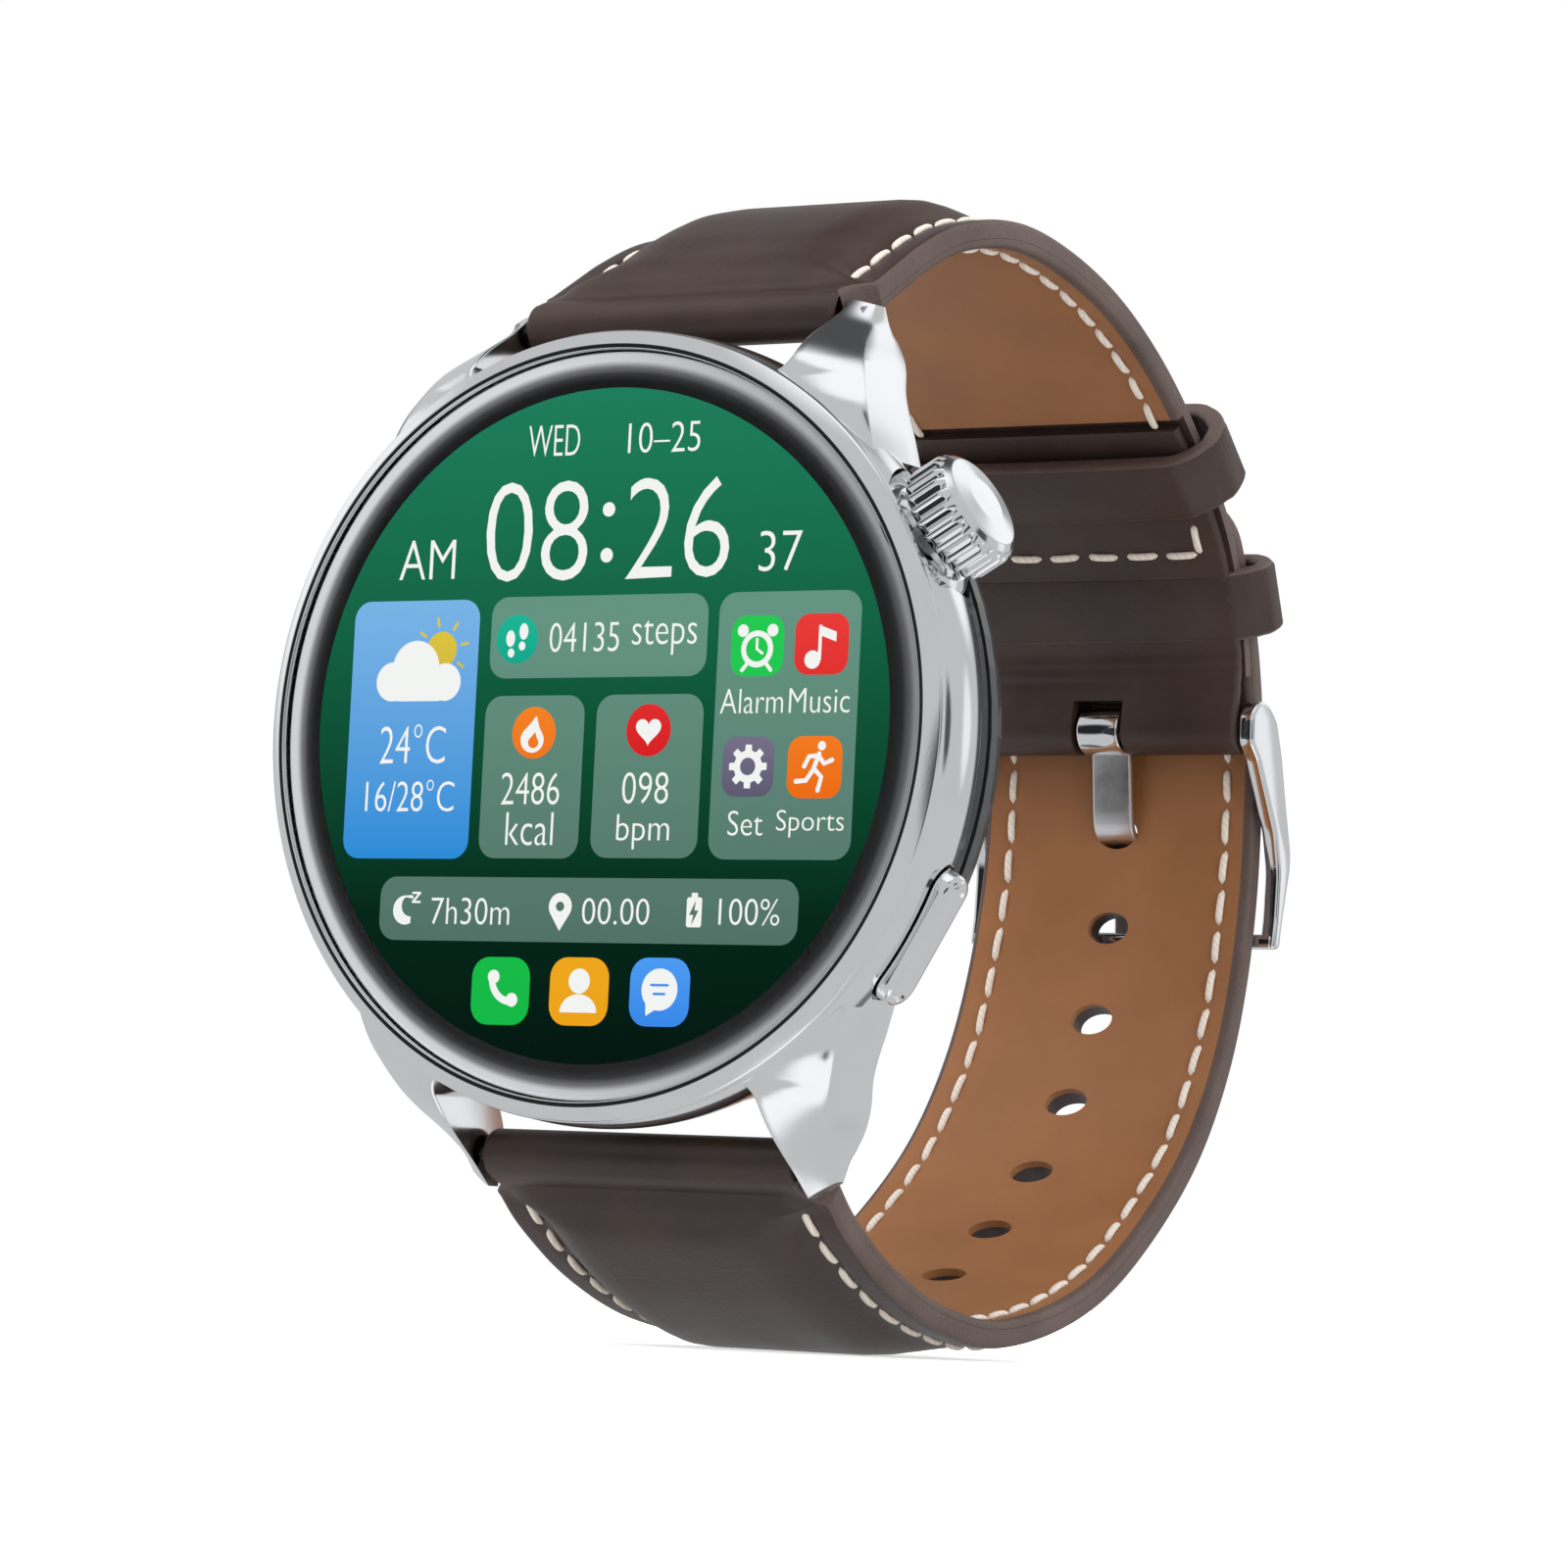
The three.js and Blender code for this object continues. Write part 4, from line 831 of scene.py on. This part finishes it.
def build_button():
    """A slim key with a raised rim around its flat face."""
    rows = [(0.3, 21.75), (0.0, 21.9), (0.0, 23.3), (0.05, 23.5), (0.18, 23.66), (0.36, 23.72), (0.5, 23.66),
            (0.58, 23.55), (0.7, 23.5), (1.0, 23.52), (1.3, 23.53)]
    piece("button_key", *pill_rings(BUTTON_LONG, BUTTON_WIDE, rows, 16), CHROME, "button", "button_cap",
          "polished_steel", angle=40)


build_crown()
build_button()

# ---- strap -----------------------------------------------------------------------------------

# Middle line of each strap half in the side view, from its spring bar to its end: (d, z).
UPPER_LINE = [(8.2, 24.5), (10.1, 25.7), (13.4, 27.7), (15.7, 29.05), (20.3, 31.1), (28.3, 32.5), (38.5, 31),
              (46.4, 27.7), (52.8, 23.2), (58, 17.8), (60.9, 11.8), (61.75, 8.2)]
LOWER_LINE = [(8.2, -24.5), (10.1, -25.85), (12.1, -27.6), (14.4, -29.1), (16.75, -30.4), (21.3, -32.2),
              (25.5, -33.2), (31, -33.7), (39, -32.5), (45.6, -30.1), (52.9, -25.3), (57.4, -21),
              (60.9, -15.6), (62.9, -10.3), (64, -4.8), (64.35, 0.2), (64.05, 6.2), (62.75, 12),
              (60.45, 17), (58.1, 20.6), (55.65, 23.15)]
STEP = 0.45
STITCH_PITCH, STITCH_LONG, STITCH_IN, STITCH_R = 2.72, 2.3, 2.0, 0.26
STITCH_FROM = 4.3  # where the rows of stitches begin
NOSE_R, NOSE_HALF, NOSE_BORE = 1.5, 10.6, 0.8  # the rounded strap end around its spring bar
FOLD_LONG = 21.0
FOLD_FACE = -0.98  # height of the turned end's face
JOIN = -0.3  # height of the seam between outer leather and lining
HOLE_FROM, HOLE_STEP, HOLES = 38.2, 6.52, 8
HOLE_ACROSS, HOLE_ALONG = 1.5, 1.08


class Strap:
    """One half of the strap: its middle line, and its width and thickness along it."""

    def __init__(self, body, side, line, tip):
        rough = smooth_line(line, 400)[2][-1]
        self.body, self.side, self.tip = body, side, tip
        self.p, self.t, self.s = smooth_line(line, int(rough / STEP) + 1)
        self.n = np.stack([-self.t[:, 1], self.t[:, 0]], 1) * side
        self.length = self.s[-1]

    def thick(self, s):
        return 1.7 + 1.3 * (1 - blend01(s, 0.0, 3.4)) - 0.2 * blend01(s, 25, self.length - 15)

    def half(self, s):
        w = np.clip(11.62 - 0.021 * np.asarray(s, float), 10.0, 12)
        w = NOSE_HALF + (w - NOSE_HALF) * blend01(s, 1.9, 2.8)
        if self.tip == "free":
            q = np.clip((s - (self.length - 7)) / 7.05, 0, 1)
            w = w * (1 - 0.995 * q ** 2.6)
        return w

    def pad(self, s):
        rise = np.sqrt(1 - (1 - np.clip((np.asarray(s, float) - 1.7) / 3.0, 0, 1)) ** 2)
        return 1.5 * rise * (1 - blend01(s, 17, 27.5))

    def top(self, s, e):
        """Height of the outer face over the middle line, e in from the edge."""
        s, e = np.asarray(s, float), np.asarray(e, float)
        h = self.thick(s) / 2 + 0 * e
        h = h - corner(e, 0.42)
        near = 2.45 * blend01(s, 1.0, 5.0) + 0.25
        across = 1 - (1 - np.clip((e - near) / 3.4, 0, 1)) ** 2.3
        h = h + self.pad(s) * across
        wave = 1 + 0.35 * np.cos(2 * math.pi * s / STITCH_PITCH)
        return h - 0.13 * np.exp(-((e - STITCH_IN) / 0.3) ** 2) * wave * blend01(s, 2.5, 5)

    def under(self, s, e):
        """Height of the inner face."""
        s, e = np.asarray(s, float), np.asarray(e, float)
        wave = 1 + 0.35 * np.cos(2 * math.pi * s / STITCH_PITCH)
        h = -self.thick(s) / 2 + corner(e, 0.35)
        return h + 0.1 * np.exp(-((e - STITCH_IN) / 0.3) ** 2) * wave * blend01(s, 4, 6)

    def at(self, s, x, h):
        """A point at length s, sideways x and height h."""
        p = np.array([np.interp(s, self.s, self.p[:, k]) for k in (0, 1)])
        n = np.array([np.interp(s, self.s, self.n[:, k]) for k in (0, 1)])
        n /= np.linalg.norm(n)
        return np.array((x, p[0] + n[0] * h, p[1] + n[1] * h))

    def frame(self, s):
        n = np.array([np.interp(s, self.s, self.n[:, k]) for k in (0, 1)])
        t = np.array([np.interp(s, self.s, self.t[:, k]) for k in (0, 1)])
        return np.array((0, *t)) / np.linalg.norm(t), np.array((0, *n)) / np.linalg.norm(n)


def corner(e, r):
    """How far a rounded corner of radius r has dropped at a distance e in from the edge."""
    q = np.clip(r - e, 0, r)
    return r - np.sqrt(np.maximum(r * r - q * q, 0))


# Places across the strap, from its edge in, at which a band is drawn.
INSETS = [0, 0.05, 0.13, 0.25, 0.42, 0.7, 1.1, 1.5, 1.75, 1.92, 2.08, 2.25, 2.5, 2.8, 3.2, 3.7, 4.3, 5.1,
          6.2, 7.6, 9.2]


def band(strap, s0, s1, face, back, name, mats, stands_for, slot, painted=3):
    """A strap layer between two height functions, the face and the plainer back. Its sides and the
    outermost strips of its face, as many as painted says, take the second material."""
    rows = [i for i, s in enumerate(strap.s) if s0 <= s <= s1]
    rings, n = [], len(INSETS)
    for i in rows:
        s = strap.s[i]
        w = float(strap.half(s))
        e = np.array(INSETS) * min(1.0, w / 9.6)
        x = np.concatenate([-(w - e), [0.0], (w - e)[::-1]])
        ee = np.concatenate([e, [w], e[::-1]])
        fine = np.broadcast_to(face(s, ee), ee.shape)
        plain_side = np.broadcast_to(back(s, ee), ee.shape)
        xs = np.concatenate([[x[0]], x, [x[-1]], x[::-1][3:-3:6]])
        hs = np.concatenate([[plain_side[0]], fine, [plain_side[-1]], plain_side[::-1][3:-3:6]])
        p, m = strap.p[i], strap.n[i]
        rings.append(np.stack([xs, p[0] + m[0] * hs, p[1] + m[1] * hs], 1))
    pts, faces = rings_mesh(rings)
    cols = len(rings[0])
    top_count = 2 * n + 1
    marks = []
    for k in range(len(faces)):
        j = k % cols if k < (len(rings) - 1) * cols else -1
        edge = j < 0 or j < painted or top_count - painted < j + 1 <= top_count + 1
        marks.append(1 if edge else 0)
    return piece(name, pts, faces, mats, strap.body, stands_for, slot, marks, angle=48)


def stitches(strap, name, spots):
    """Small rounded threads: spots are (s, x, which face, turned across or not)."""
    verts, faces = [], []
    for k, (s, x, face, across) in enumerate(spots):
        e = float(strap.half(s)) - abs(x)
        h = float(strap.top(s, e) if face > 0 else face_under(strap, s, e))
        t, n = strap.frame(s)
        n = n * face
        along, side = (np.array((1.0, 0, 0)), t) if across else (t, np.array((1.0, 0, 0)))
        turn = 0.05 * math.sin(k * 2.4)
        cos, sin = math.cos(turn), math.sin(turn)
        along, side = along * cos + side * sin, side * cos - along * sin
        base = strap.at(s, x, h) + n * 0.03
        half = STITCH_LONG / 2 * (1 + 0.04 * math.sin(k * 1.7))
        start = len(verts)
        rings = 9
        for i in range(rings):
            u = -1 + 2 * i / (rings - 1)
            r = STITCH_R * math.sqrt(max(1 - abs(u) ** 6, 0.02))
            lift = 0.1 * (1 - u * u) - 0.08 * u ** 4
            for j in range(8):
                a = 2 * math.pi * j / 8
                verts.append(base + along * (u * half) + side * (r * math.cos(a))
                             + n * (r * 0.75 * math.sin(a) + lift))
        for i in range(rings - 1):
            for j in range(8):
                a, b = start + i * 8 + j, start + i * 8 + (j + 1) % 8
                faces.append((a, b, b + 8, a + 8))
        faces.append(tuple(start + j for j in range(8)))
        faces.append(tuple(start + (rings - 1) * 8 + j for j in range(8)))
    return piece(name, verts, faces, THREAD, strap.body, (), "lining_leather", angle=60)


def face_under(strap, s, e):
    """Height of the inner face, or of the turned end that covers it."""
    if strap.tip == "buckle" and s > strap.length - FOLD_LONG:
        return FOLD_FACE
    return strap.under(s, e)


def edge_rows(strap, s0, s1, face):
    """The spots of the stitches along both edges."""
    spots = []
    s = s0
    while s < s1:
        w = float(strap.half(s)) - STITCH_IN
        spots += [(s, -w, face, False), (s, w, face, False)]
        s += STITCH_PITCH
    return spots


def strap_nose(strap):
    """The rounded strap end around its spring bar."""
    t, n = strap.t[0], strap.n[0]
    c = strap.p[0]
    out = []
    for a in np.linspace(-0.1, math.pi + 0.1, 24):
        out.append(c + NOSE_R * (n * math.cos(a) - t * math.sin(a)))
    for a in np.linspace(math.pi + 0.1, -0.1, 16):
        out.append(c + NOSE_BORE * (n * math.cos(a) - t * math.sin(a)))
    pts, faces = prism(out, -NOSE_HALF, NOSE_HALF, 0.3, 4)
    name = "upper_strap_end" if strap.side > 0 else "lower_strap_end"
    piece(name, pts, faces, OUTER, strap.body, (), "outer_leather")


def seam_outer(s, e):
    """Height of the outer leather's hidden face."""
    return JOIN + 0 * e


def seam_inner(s, e):
    """Height of the lining's hidden face, a hair lower."""
    return JOIN - 0.02 + 0 * e


def build_upper_strap():
    """The short half, up to the buckle's bar."""
    st = Strap("upper_strap", 1, UPPER_LINE, "buckle")
    strap_nose(st)
    fold0 = st.length - FOLD_LONG
    band(st, 0, st.length - 1.0, st.top, seam_outer, "upper_strap_outer", [OUTER, EDGE],
         "upper_strap_leather", "outer_leather")
    band(st, 0.4, fold0, st.under, seam_inner, "upper_strap_inner", [LINING, EDGE],
         "upper_strap_lining", "lining_leather", 5)
    rows = edge_rows(st, STITCH_FROM, st.length - 4, 1) + edge_rows(st, STITCH_FROM, fold0, -1)
    stitches(st, "upper_strap_stitching", rows)
    return st


def build_lower_strap():
    """The long half with its holes and free tip."""
    st = Strap("lower_strap", -1, LOWER_LINE, "free")
    strap_nose(st)
    made = [band(st, 0, st.length, st.top, seam_outer, "lower_strap_outer", [OUTER, EDGE],
                 ["lower_strap_leather", "tail_leather"], "outer_leather"),
            band(st, 0.4, st.length, st.under, seam_inner, "lower_strap_inner", [LINING, EDGE],
                 ["lower_strap_lining", "tail_lining"], "lining_leather", 5)]
    for ob in made:
        punches = []
        for s in [HOLE_FROM + HOLE_STEP * i for i in range(HOLES)]:
            t = st.frame(s)[0]
            turns = np.linspace(0, 2 * math.pi, 28, endpoint=False)
            rings = [[st.at(s, 0, level) + np.array((HOLE_ACROSS * math.cos(a), 0, 0))
                      + t * (HOLE_ALONG * math.sin(a)) for a in turns] for level in (-2.5, 2.5)]
            punches.append(cutter(*rings_mesh(rings)))
        carved(ob, punches)
    tip = st.length - 7.5
    rows = edge_rows(st, STITCH_FROM, tip, 1) + edge_rows(st, STITCH_FROM, tip, -1)
    stitches(st, "lower_strap_stitching", rows)
    return st


upper = build_upper_strap()
lower = build_lower_strap()


def ribbon(line, half, thick, name, mats, body, stands_for=(), slot=None, bumps=None, steps=90, edge_r=0.2):
    """A flat strip of leather or metal that follows a line in the side view. half is its half width,
    one number or by share of its length, and bumps lifts it by length."""
    p, t, s = smooth_line(line, steps)
    n = np.stack([-t[:, 1], t[:, 0]], 1)
    rings = []
    for i in range(steps):
        w = half(s[i] / s[-1]) if callable(half) else half
        sect = rounded([(-w, -thick / 2), (w, -thick / 2), (w, thick / 2), (-w, thick / 2)], edge_r, 3)
        lift = bumps(s[i]) if bumps else 0.0
        h = sect[:, 1] + lift
        rings.append(np.stack([sect[:, 0], p[i][0] + n[i][0] * h, p[i][1] + n[i][1] * h], 1))
    pts, faces = rings_mesh(rings)
    return piece(name, pts, faces, mats, body, stands_for, slot, angle=50)


BAR_D, BAR_Z = 61.5, 6.0  # the bar that the buckle turns on
TURN_R = 1.18  # how the strap's end goes round it
TURNED_HALF, TURNED_THICK = 10.15, 0.78
KEEPER_WIDE, KEEPER_HALF, KEEPER_TOP, KEEPER_THICK = 4.6, 10.7, 2.75, 1.15
ARM_IN, ARM_OUT = 10.3, 11.4  # the buckle's arms


def build_fold():
    """The short strap's end, turned round the buckle's bar and laid back over the inside."""
    st = upper
    line = []
    for s in (st.length - 5, st.length - 2.6):
        q = st.at(s, 0, 0.36)
        line.append((q[1], q[2]))
    line += [(BAR_D + TURN_R * math.cos(a), BAR_Z + TURN_R * math.sin(a))
             for a in np.linspace(0.25, -math.pi - 0.15, 9)]
    for s in np.arange(st.length - 2.4, st.length - FOLD_LONG, -2.0):
        q = st.at(s, 0, -0.6)
        line.append((q[1], q[2]))
    total = smooth_line(line, 400)[2][-1]

    def creases(s):
        back = total - s
        return sum(0.09 * math.exp(-((back - at) / 0.28) ** 2) for at in (13.2, 14.5, 17.6, 19.0))

    ob = ribbon(line, TURNED_HALF, TURNED_THICK, "upper_strap_turned_end", [OUTER], st.body,
                "upper_strap_fold", "outer_leather", creases, 150, 0.3)
    notch = cutter(*prism([(-1.85, 4.0), (1.85, 4.0), (1.85, 7.9), (-1.85, 7.9)], 55, 70, plane="xz"))
    carved(ob, [notch])
    row = st.length - 10.1
    spots = [(row, x, -1, True) for x in np.arange(-7.2, 7.3, 2.88)]
    spots += [(row - 1.2, x, -1, False) for x in (-8.6, 8.6)]
    stitches(st, "upper_strap_cross_stitching", spots)


def keeper(name, centre, low, body, stands_for):
    """A leather loop around both layers of strap, its corners rounded and its faces a little bowed."""
    st, inner, high, wide, thick = upper, KEEPER_HALF, KEEPER_TOP, KEEPER_WIDE, KEEPER_THICK
    h = thick / 2
    out, bottom, top = inner + h, low - h, high + h
    loop = rounded([(-out, bottom), (out, bottom), (out, top), (-out, top)], 2.4, 10)
    t, n = st.frame(centre)
    base = st.at(centre, 0, 0)
    sect = rounded([(-wide / 2, -h), (wide / 2, -h), (wide / 2, h), (-wide / 2, h)], 0.34, 4)
    dense = []
    for a, b in zip(loop, np.roll(loop, -1, 0)):
        k = max(1, int(np.linalg.norm(b - a) / 0.9))
        dense += [a + (b - a) * j / k for j in range(k)]
    dense = np.array(dense)
    d = np.roll(dense, -1, 0) - np.roll(dense, 1, 0)
    d /= np.linalg.norm(d, axis=1)[:, None]
    outward = np.stack([d[:, 1], -d[:, 0]], 1)
    rings = []
    for q, o in zip(dense, outward):
        bow = 0.22 * (1 - (q[0] / (inner + thick)) ** 2) if abs(o[1]) > 0.9 else 0
        side = 0.15 if abs(o[0]) > 0.9 else 0
        ring = []
        for along, r in sect:
            crown = 0.16 * (1 - (2 * along / wide) ** 2) * (1 if r > 0 else 0)
            reach = r + bow + side + crown
            ring.append(base + np.array((q[0] + o[0] * reach, 0, 0)) + n * (q[1] + o[1] * reach) + t * along)
        rings.append(ring)
    pts, faces = rings_mesh(rings, closed_run=True)
    marks = [1 if abs(sect[k % len(sect)][0] + sect[(k + 1) % len(sect)][0]) > wide * 0.93 else 0
             for k in range(len(faces))]
    piece(name, pts, faces, [OUTER, EDGE], body, stands_for, "outer_leather", marks, angle=55)


build_fold()
keeper("sliding_keeper_loop", upper.length - 16.3, -1.2, "sliding_keeper", "sliding_keeper")
# The fixed one is caught under the turned end, so its inner run lies within the strap's thickness.
keeper("fixed_keeper_loop", upper.length - 6.2, 0.2, "upper_strap", "fixed_keeper")

# ---- buckle ----------------------------------------------------------------------------------


def build_buckle():
    """Two shaped arms joined by a crossbar, and the tongue with its eye around the bar."""
    d, z = BAR_D, BAR_Z
    side = [(d - 1.25, z + 0.9), (d - 0.2, z + 2.05), (d + 1.2, z + 1.7), (63.8, 6.9), (64.75, 4.6),
            (65.65, 1.4), (66.75, -2.1), (66.2, -4.3), (65.75, -6.3), (65.5, -8.0), (64.55, -8.0),
            (64.85, -6.0), (64.95, -2.9), (64.2, -0.4), (62.75, 1.95), (61.4, 4.1), (d - 1.2, z - 0.9)]
    arm = rounded(side, [1.0, 1.2, 1.0, 1.5, 3, 4, 5, 6, 4, 0.4, 0.3, 5, 4, 4, 4, 2, 1.0], 5)
    verts, faces = [], []
    for lo, hi in ((ARM_IN, ARM_OUT), (-ARM_OUT, -ARM_IN)):
        v, f = prism(arm, lo, hi, 0.28, 4)
        faces += [tuple(i + len(verts) for i in g) for g in f]
        verts += list(v)
    bar = rounded([(64.55, -7.1), (65.6, -6.95), (65.75, -7.95), (64.5, -8.05)], 0.35, 5)
    v, f = prism(bar, -11.1, 11.1, 0.1, 2)
    faces += [tuple(i + len(verts) for i in g) for g in f]
    verts += list(v)
    piece("buckle_frame_polished", verts, faces, CHROME, "buckle_frame", "buckle_frame", "polished_steel")
    tongue = [(d + 0.9, z - 1.1), (62.6, 3.6), (62.85, 1.6), (63.0, 0.5), (63.3, -0.45), (64.1, -1.05),
              (65.0, -1.4), (65.8, -2.3), (66.3, -4.6), (66.2, -8.6)]
    ribbon(tongue, lambda u: 1.45 * (1 - 0.2 * blend01(u, 0.6, 1.0)), 0.6, "buckle_pin", [BRUSHED],
           "buckle_tongue", "buckle_tongue", "polished_steel", None, 60, 0.2)
    turns = np.linspace(-1.0, 2 * math.pi - 1.05, 40)
    eye = [(d + 1.22 * math.cos(a), z + 1.22 * math.sin(a)) for a in turns]
    ribbon(eye, 1.55, 0.62, "buckle_pin_eye", [CHROME], "buckle_tongue", (), "polished_steel", None, 60, 0.22)


build_buckle()

# ---- the CAD pieces that stay ----------------------------------------------------------------

STAYING = {
    "back_plastic": plain("back_cover_plastic", (0.018, 0.02, 0.021, 1), 0.32, 0.0, 0.12, 0.006,
                          Coat_Weight=0.25),
    "sensor_glass": plain("sensor_window_glass", (0.006, 0.007, 0.009, 1), 0.05, 0.0, 0.4, 0.001,
                          Coat_Weight=0.6),
    "fastener_steel": SATIN,
    "polished_steel": CHROME_SOFT,
    "contact_gold": plain("gold_contact", (0.83, 0.61, 0.27, 1), 0.18, 1.0, 0.1, 0.003),
    "circuit_board": plain("circuit_board", (0.02, 0.13, 0.06, 1), 0.4, 0.0, 0.3, 0.01),
    "bright_metal": plain("bright_metal", (0.6, 0.61, 0.62, 1), 0.35, 0.8, 0.2, 0.006),
    "black_plastic": plain("black_plastic", (0.015, 0.015, 0.016, 1), 0.5, 0.0, 0.15, 0.01),
    "gasket_rubber": plain("gasket_rubber", (0.02, 0.02, 0.02, 1), 0.7, 0.0, 0.2, 0.015),
    "display": GREENS,
    "cover_glass": GLASS,
    "outer_leather": OUTER,
    "lining_leather": LINING,
}
for row in frame["record"]["subparts"]:
    node = frame["nodes"][row["node"]]
    node.data.materials.clear()
    node.data.materials.append(STAYING[row["material_slot"]])

# ---- studio ----------------------------------------------------------------------------------


ROOM_LIGHT, TENT_LIGHT = 1.05, 0.6  # brightness of the tent for dull surfaces and for reflections
LAMPS_AIM = (0, 0.015, 0)
# Flags and lit panels of the tent: direction from the watch, angle inside which each is full, angle
# where it ends, and what it does to the tent's light.
FLAGS = [((-0.52, -0.85, 0.08), 14, 27, 0.03), ((0.78, -0.52, -0.08), 12, 20, 0.1),
         ((0.94, 0.31, 0.09), 5, 12, 0.15), ((-0.15, 0.98, 0.1), 8, 17, 0.12),
         ((-0.25, 0.45, 0.86), 10, 32, 0.12), ((-0.8, 0.54, 0.1), 8, 17, 0.3),
         ((0.54, -0.39, 0.71), 4, 6, 0.12), ((0.37, -0.42, -0.81), 4, 8, 0.15),
         ((-0.53, -0.07, -0.82), 5, 10, 0.25), ((0.08, 0.84, -0.52), 4, 9, 0.3),
         ((0.13, -0.11, 0.97), 14, 26, 1.85), ((0.22, -0.25, -0.92), 14, 24, 1.85),
         ((0.53, 0.84, 0.09), 4, 11, 1.6), ((0.19, 0.84, 0.51), 10, 18, 1.8),
         ((-0.9, 0.1, 0.3), 8, 20, 1.7)]
FLOOR_HALF = 3.0
CAMERA_AT = (188.07, -284.61, -31.6)  # millimetres
CAMERA_RIGHT, CAMERA_UP = (0.853007, 0.519587, 0.049080), (0.001895, -0.097124, 0.995270)
CAMERA_LENS, CAMERA_SENSOR = 137.7, 36


def lamp(name, size, at, power):
    """A soft rectangular light, in metres and watts, aimed at the watch."""
    light = bpy.data.lights.new(name, "AREA")
    light.shape, light.size, light.size_y, light.energy = "RECTANGLE", size[0], size[1], power
    ob = bpy.data.objects.new(name, light)
    bpy.context.scene.collection.objects.link(ob)
    ob.location = at
    ob.rotation_mode = "QUATERNION"
    ob.rotation_quaternion = (Vector(LAMPS_AIM) - Vector(at)).to_track_quat("-Z", "Y")
    ob.visible_glossy = False


def build_world():
    """A white tent with dark flags. The camera sees plain white, the steel and glass see the tent."""
    world = bpy.data.worlds.new("studio")
    bpy.context.scene.world = world
    world.use_nodes = True
    t = world.node_tree
    t.nodes.clear()

    def add(kind, *inputs, **settings):
        n = t.nodes.new(kind)
        for key, value in settings.items():
            setattr(n, key, value)
        for socket, value in zip(n.inputs, inputs):
            if isinstance(value, bpy.types.NodeSocket):
                t.links.new(value, socket)
            elif value is not None:
                socket.default_value = value
        return n

    way = add("ShaderNodeTexCoord").outputs["Generated"]
    light = None
    for aim, near, far, level in FLAGS:
        dot = add("ShaderNodeVectorMath", way, tuple(Vector(aim).normalized()), operation="DOT_PRODUCT")
        full, end = math.cos(math.radians(near)), math.cos(math.radians(far))
        dim = add("ShaderNodeMapRange", dot.outputs["Value"], full, end, level, 1.0,
                  interpolation_type="SMOOTHSTEP")
        if light is None:
            light = dim.outputs[0]
        else:
            light = add("ShaderNodeMath", light, dim.outputs[0], operation="MULTIPLY").outputs[0]
    path = add("ShaderNodeLightPath").outputs
    mirrored = add("ShaderNodeMath", light, TENT_LIGHT, operation="MULTIPLY").outputs[0]
    strength = add("ShaderNodeMapRange", path["Is Glossy Ray"], 0.0, 1.0, ROOM_LIGHT, mirrored).outputs[0]
    tent = add("ShaderNodeBackground", (0.97, 0.985, 1.0, 1), strength)
    seen = add("ShaderNodeBackground", (1, 1, 1, 1), 1.0)
    mix = add("ShaderNodeMixShader", path["Is Camera Ray"], tent.outputs[0], seen.outputs[0])
    t.links.new(mix.outputs[0], add("ShaderNodeOutputWorld").inputs["Surface"])


def build_studio():
    """A pale floor under the strap, and three soft lamps that stay out of the reflections."""
    ground = bpy.data.materials.new("studio_floor")
    ground.use_nodes = True
    b = ground.node_tree.nodes["Principled BSDF"]
    b.inputs["Roughness"].default_value = 0.9
    b.inputs["Specular IOR Level"].default_value = 0.0
    b.inputs["Emission Color"].default_value = (1, 1, 1, 1)
    seen = ground.node_tree.nodes.new("ShaderNodeLightPath").outputs["Is Camera Ray"]
    for socket, away, shown in (("Base Color", 0.5, 0.85), ("Emission Strength", 0.35, 0.62)):
        level = ground.node_tree.nodes.new("ShaderNodeMapRange")
        level.inputs["To Min"].default_value = away
        level.inputs["To Max"].default_value = shown
        ground.node_tree.links.new(seen, level.inputs["Value"])
        ground.node_tree.links.new(level.outputs["Result"], b.inputs[socket])
    mesh = bpy.data.meshes.new("floor")
    r = FLOOR_HALF
    mesh.from_pydata([(-r, -r, 0), (r, -r, 0), (r, r, 0), (-r, r, 0)], [], [(0, 1, 2, 3)])
    mesh.materials.append(ground)
    floor = bpy.data.objects.new("floor", mesh)
    bpy.context.scene.collection.objects.link(floor)
    floor.location.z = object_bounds()[0].z - 0.05 * MM
    floor.visible_glossy = False
    lamp("key", (0.6, 0.5), (-0.2, -0.35, 0.65), 3.6)
    lamp("fill", (0.5, 0.6), (0.7, -0.1, 0.25), 1.8)
    lamp("rim", (0.5, 0.4), (0.1, 0.6, 0.4), 2.0)


def build_camera():
    """The photograph's viewpoint."""
    data = bpy.data.cameras.new("camera")
    data.sensor_width, data.lens = CAMERA_SENSOR, CAMERA_LENS
    data.clip_start, data.clip_end = 0.01, 20
    cam = bpy.data.objects.new("camera", data)
    bpy.context.scene.collection.objects.link(cam)
    right, up = Vector(CAMERA_RIGHT), Vector(CAMERA_UP)
    place = Matrix((right, up, right.cross(up))).transposed().to_4x4()
    place.translation = Vector(mm(CAMERA_AT)[0])
    cam.matrix_world = place
    bpy.context.scene.camera = cam


build_camera()
build_world()
build_studio()
bpy.context.scene.view_settings.view_transform = "Standard"
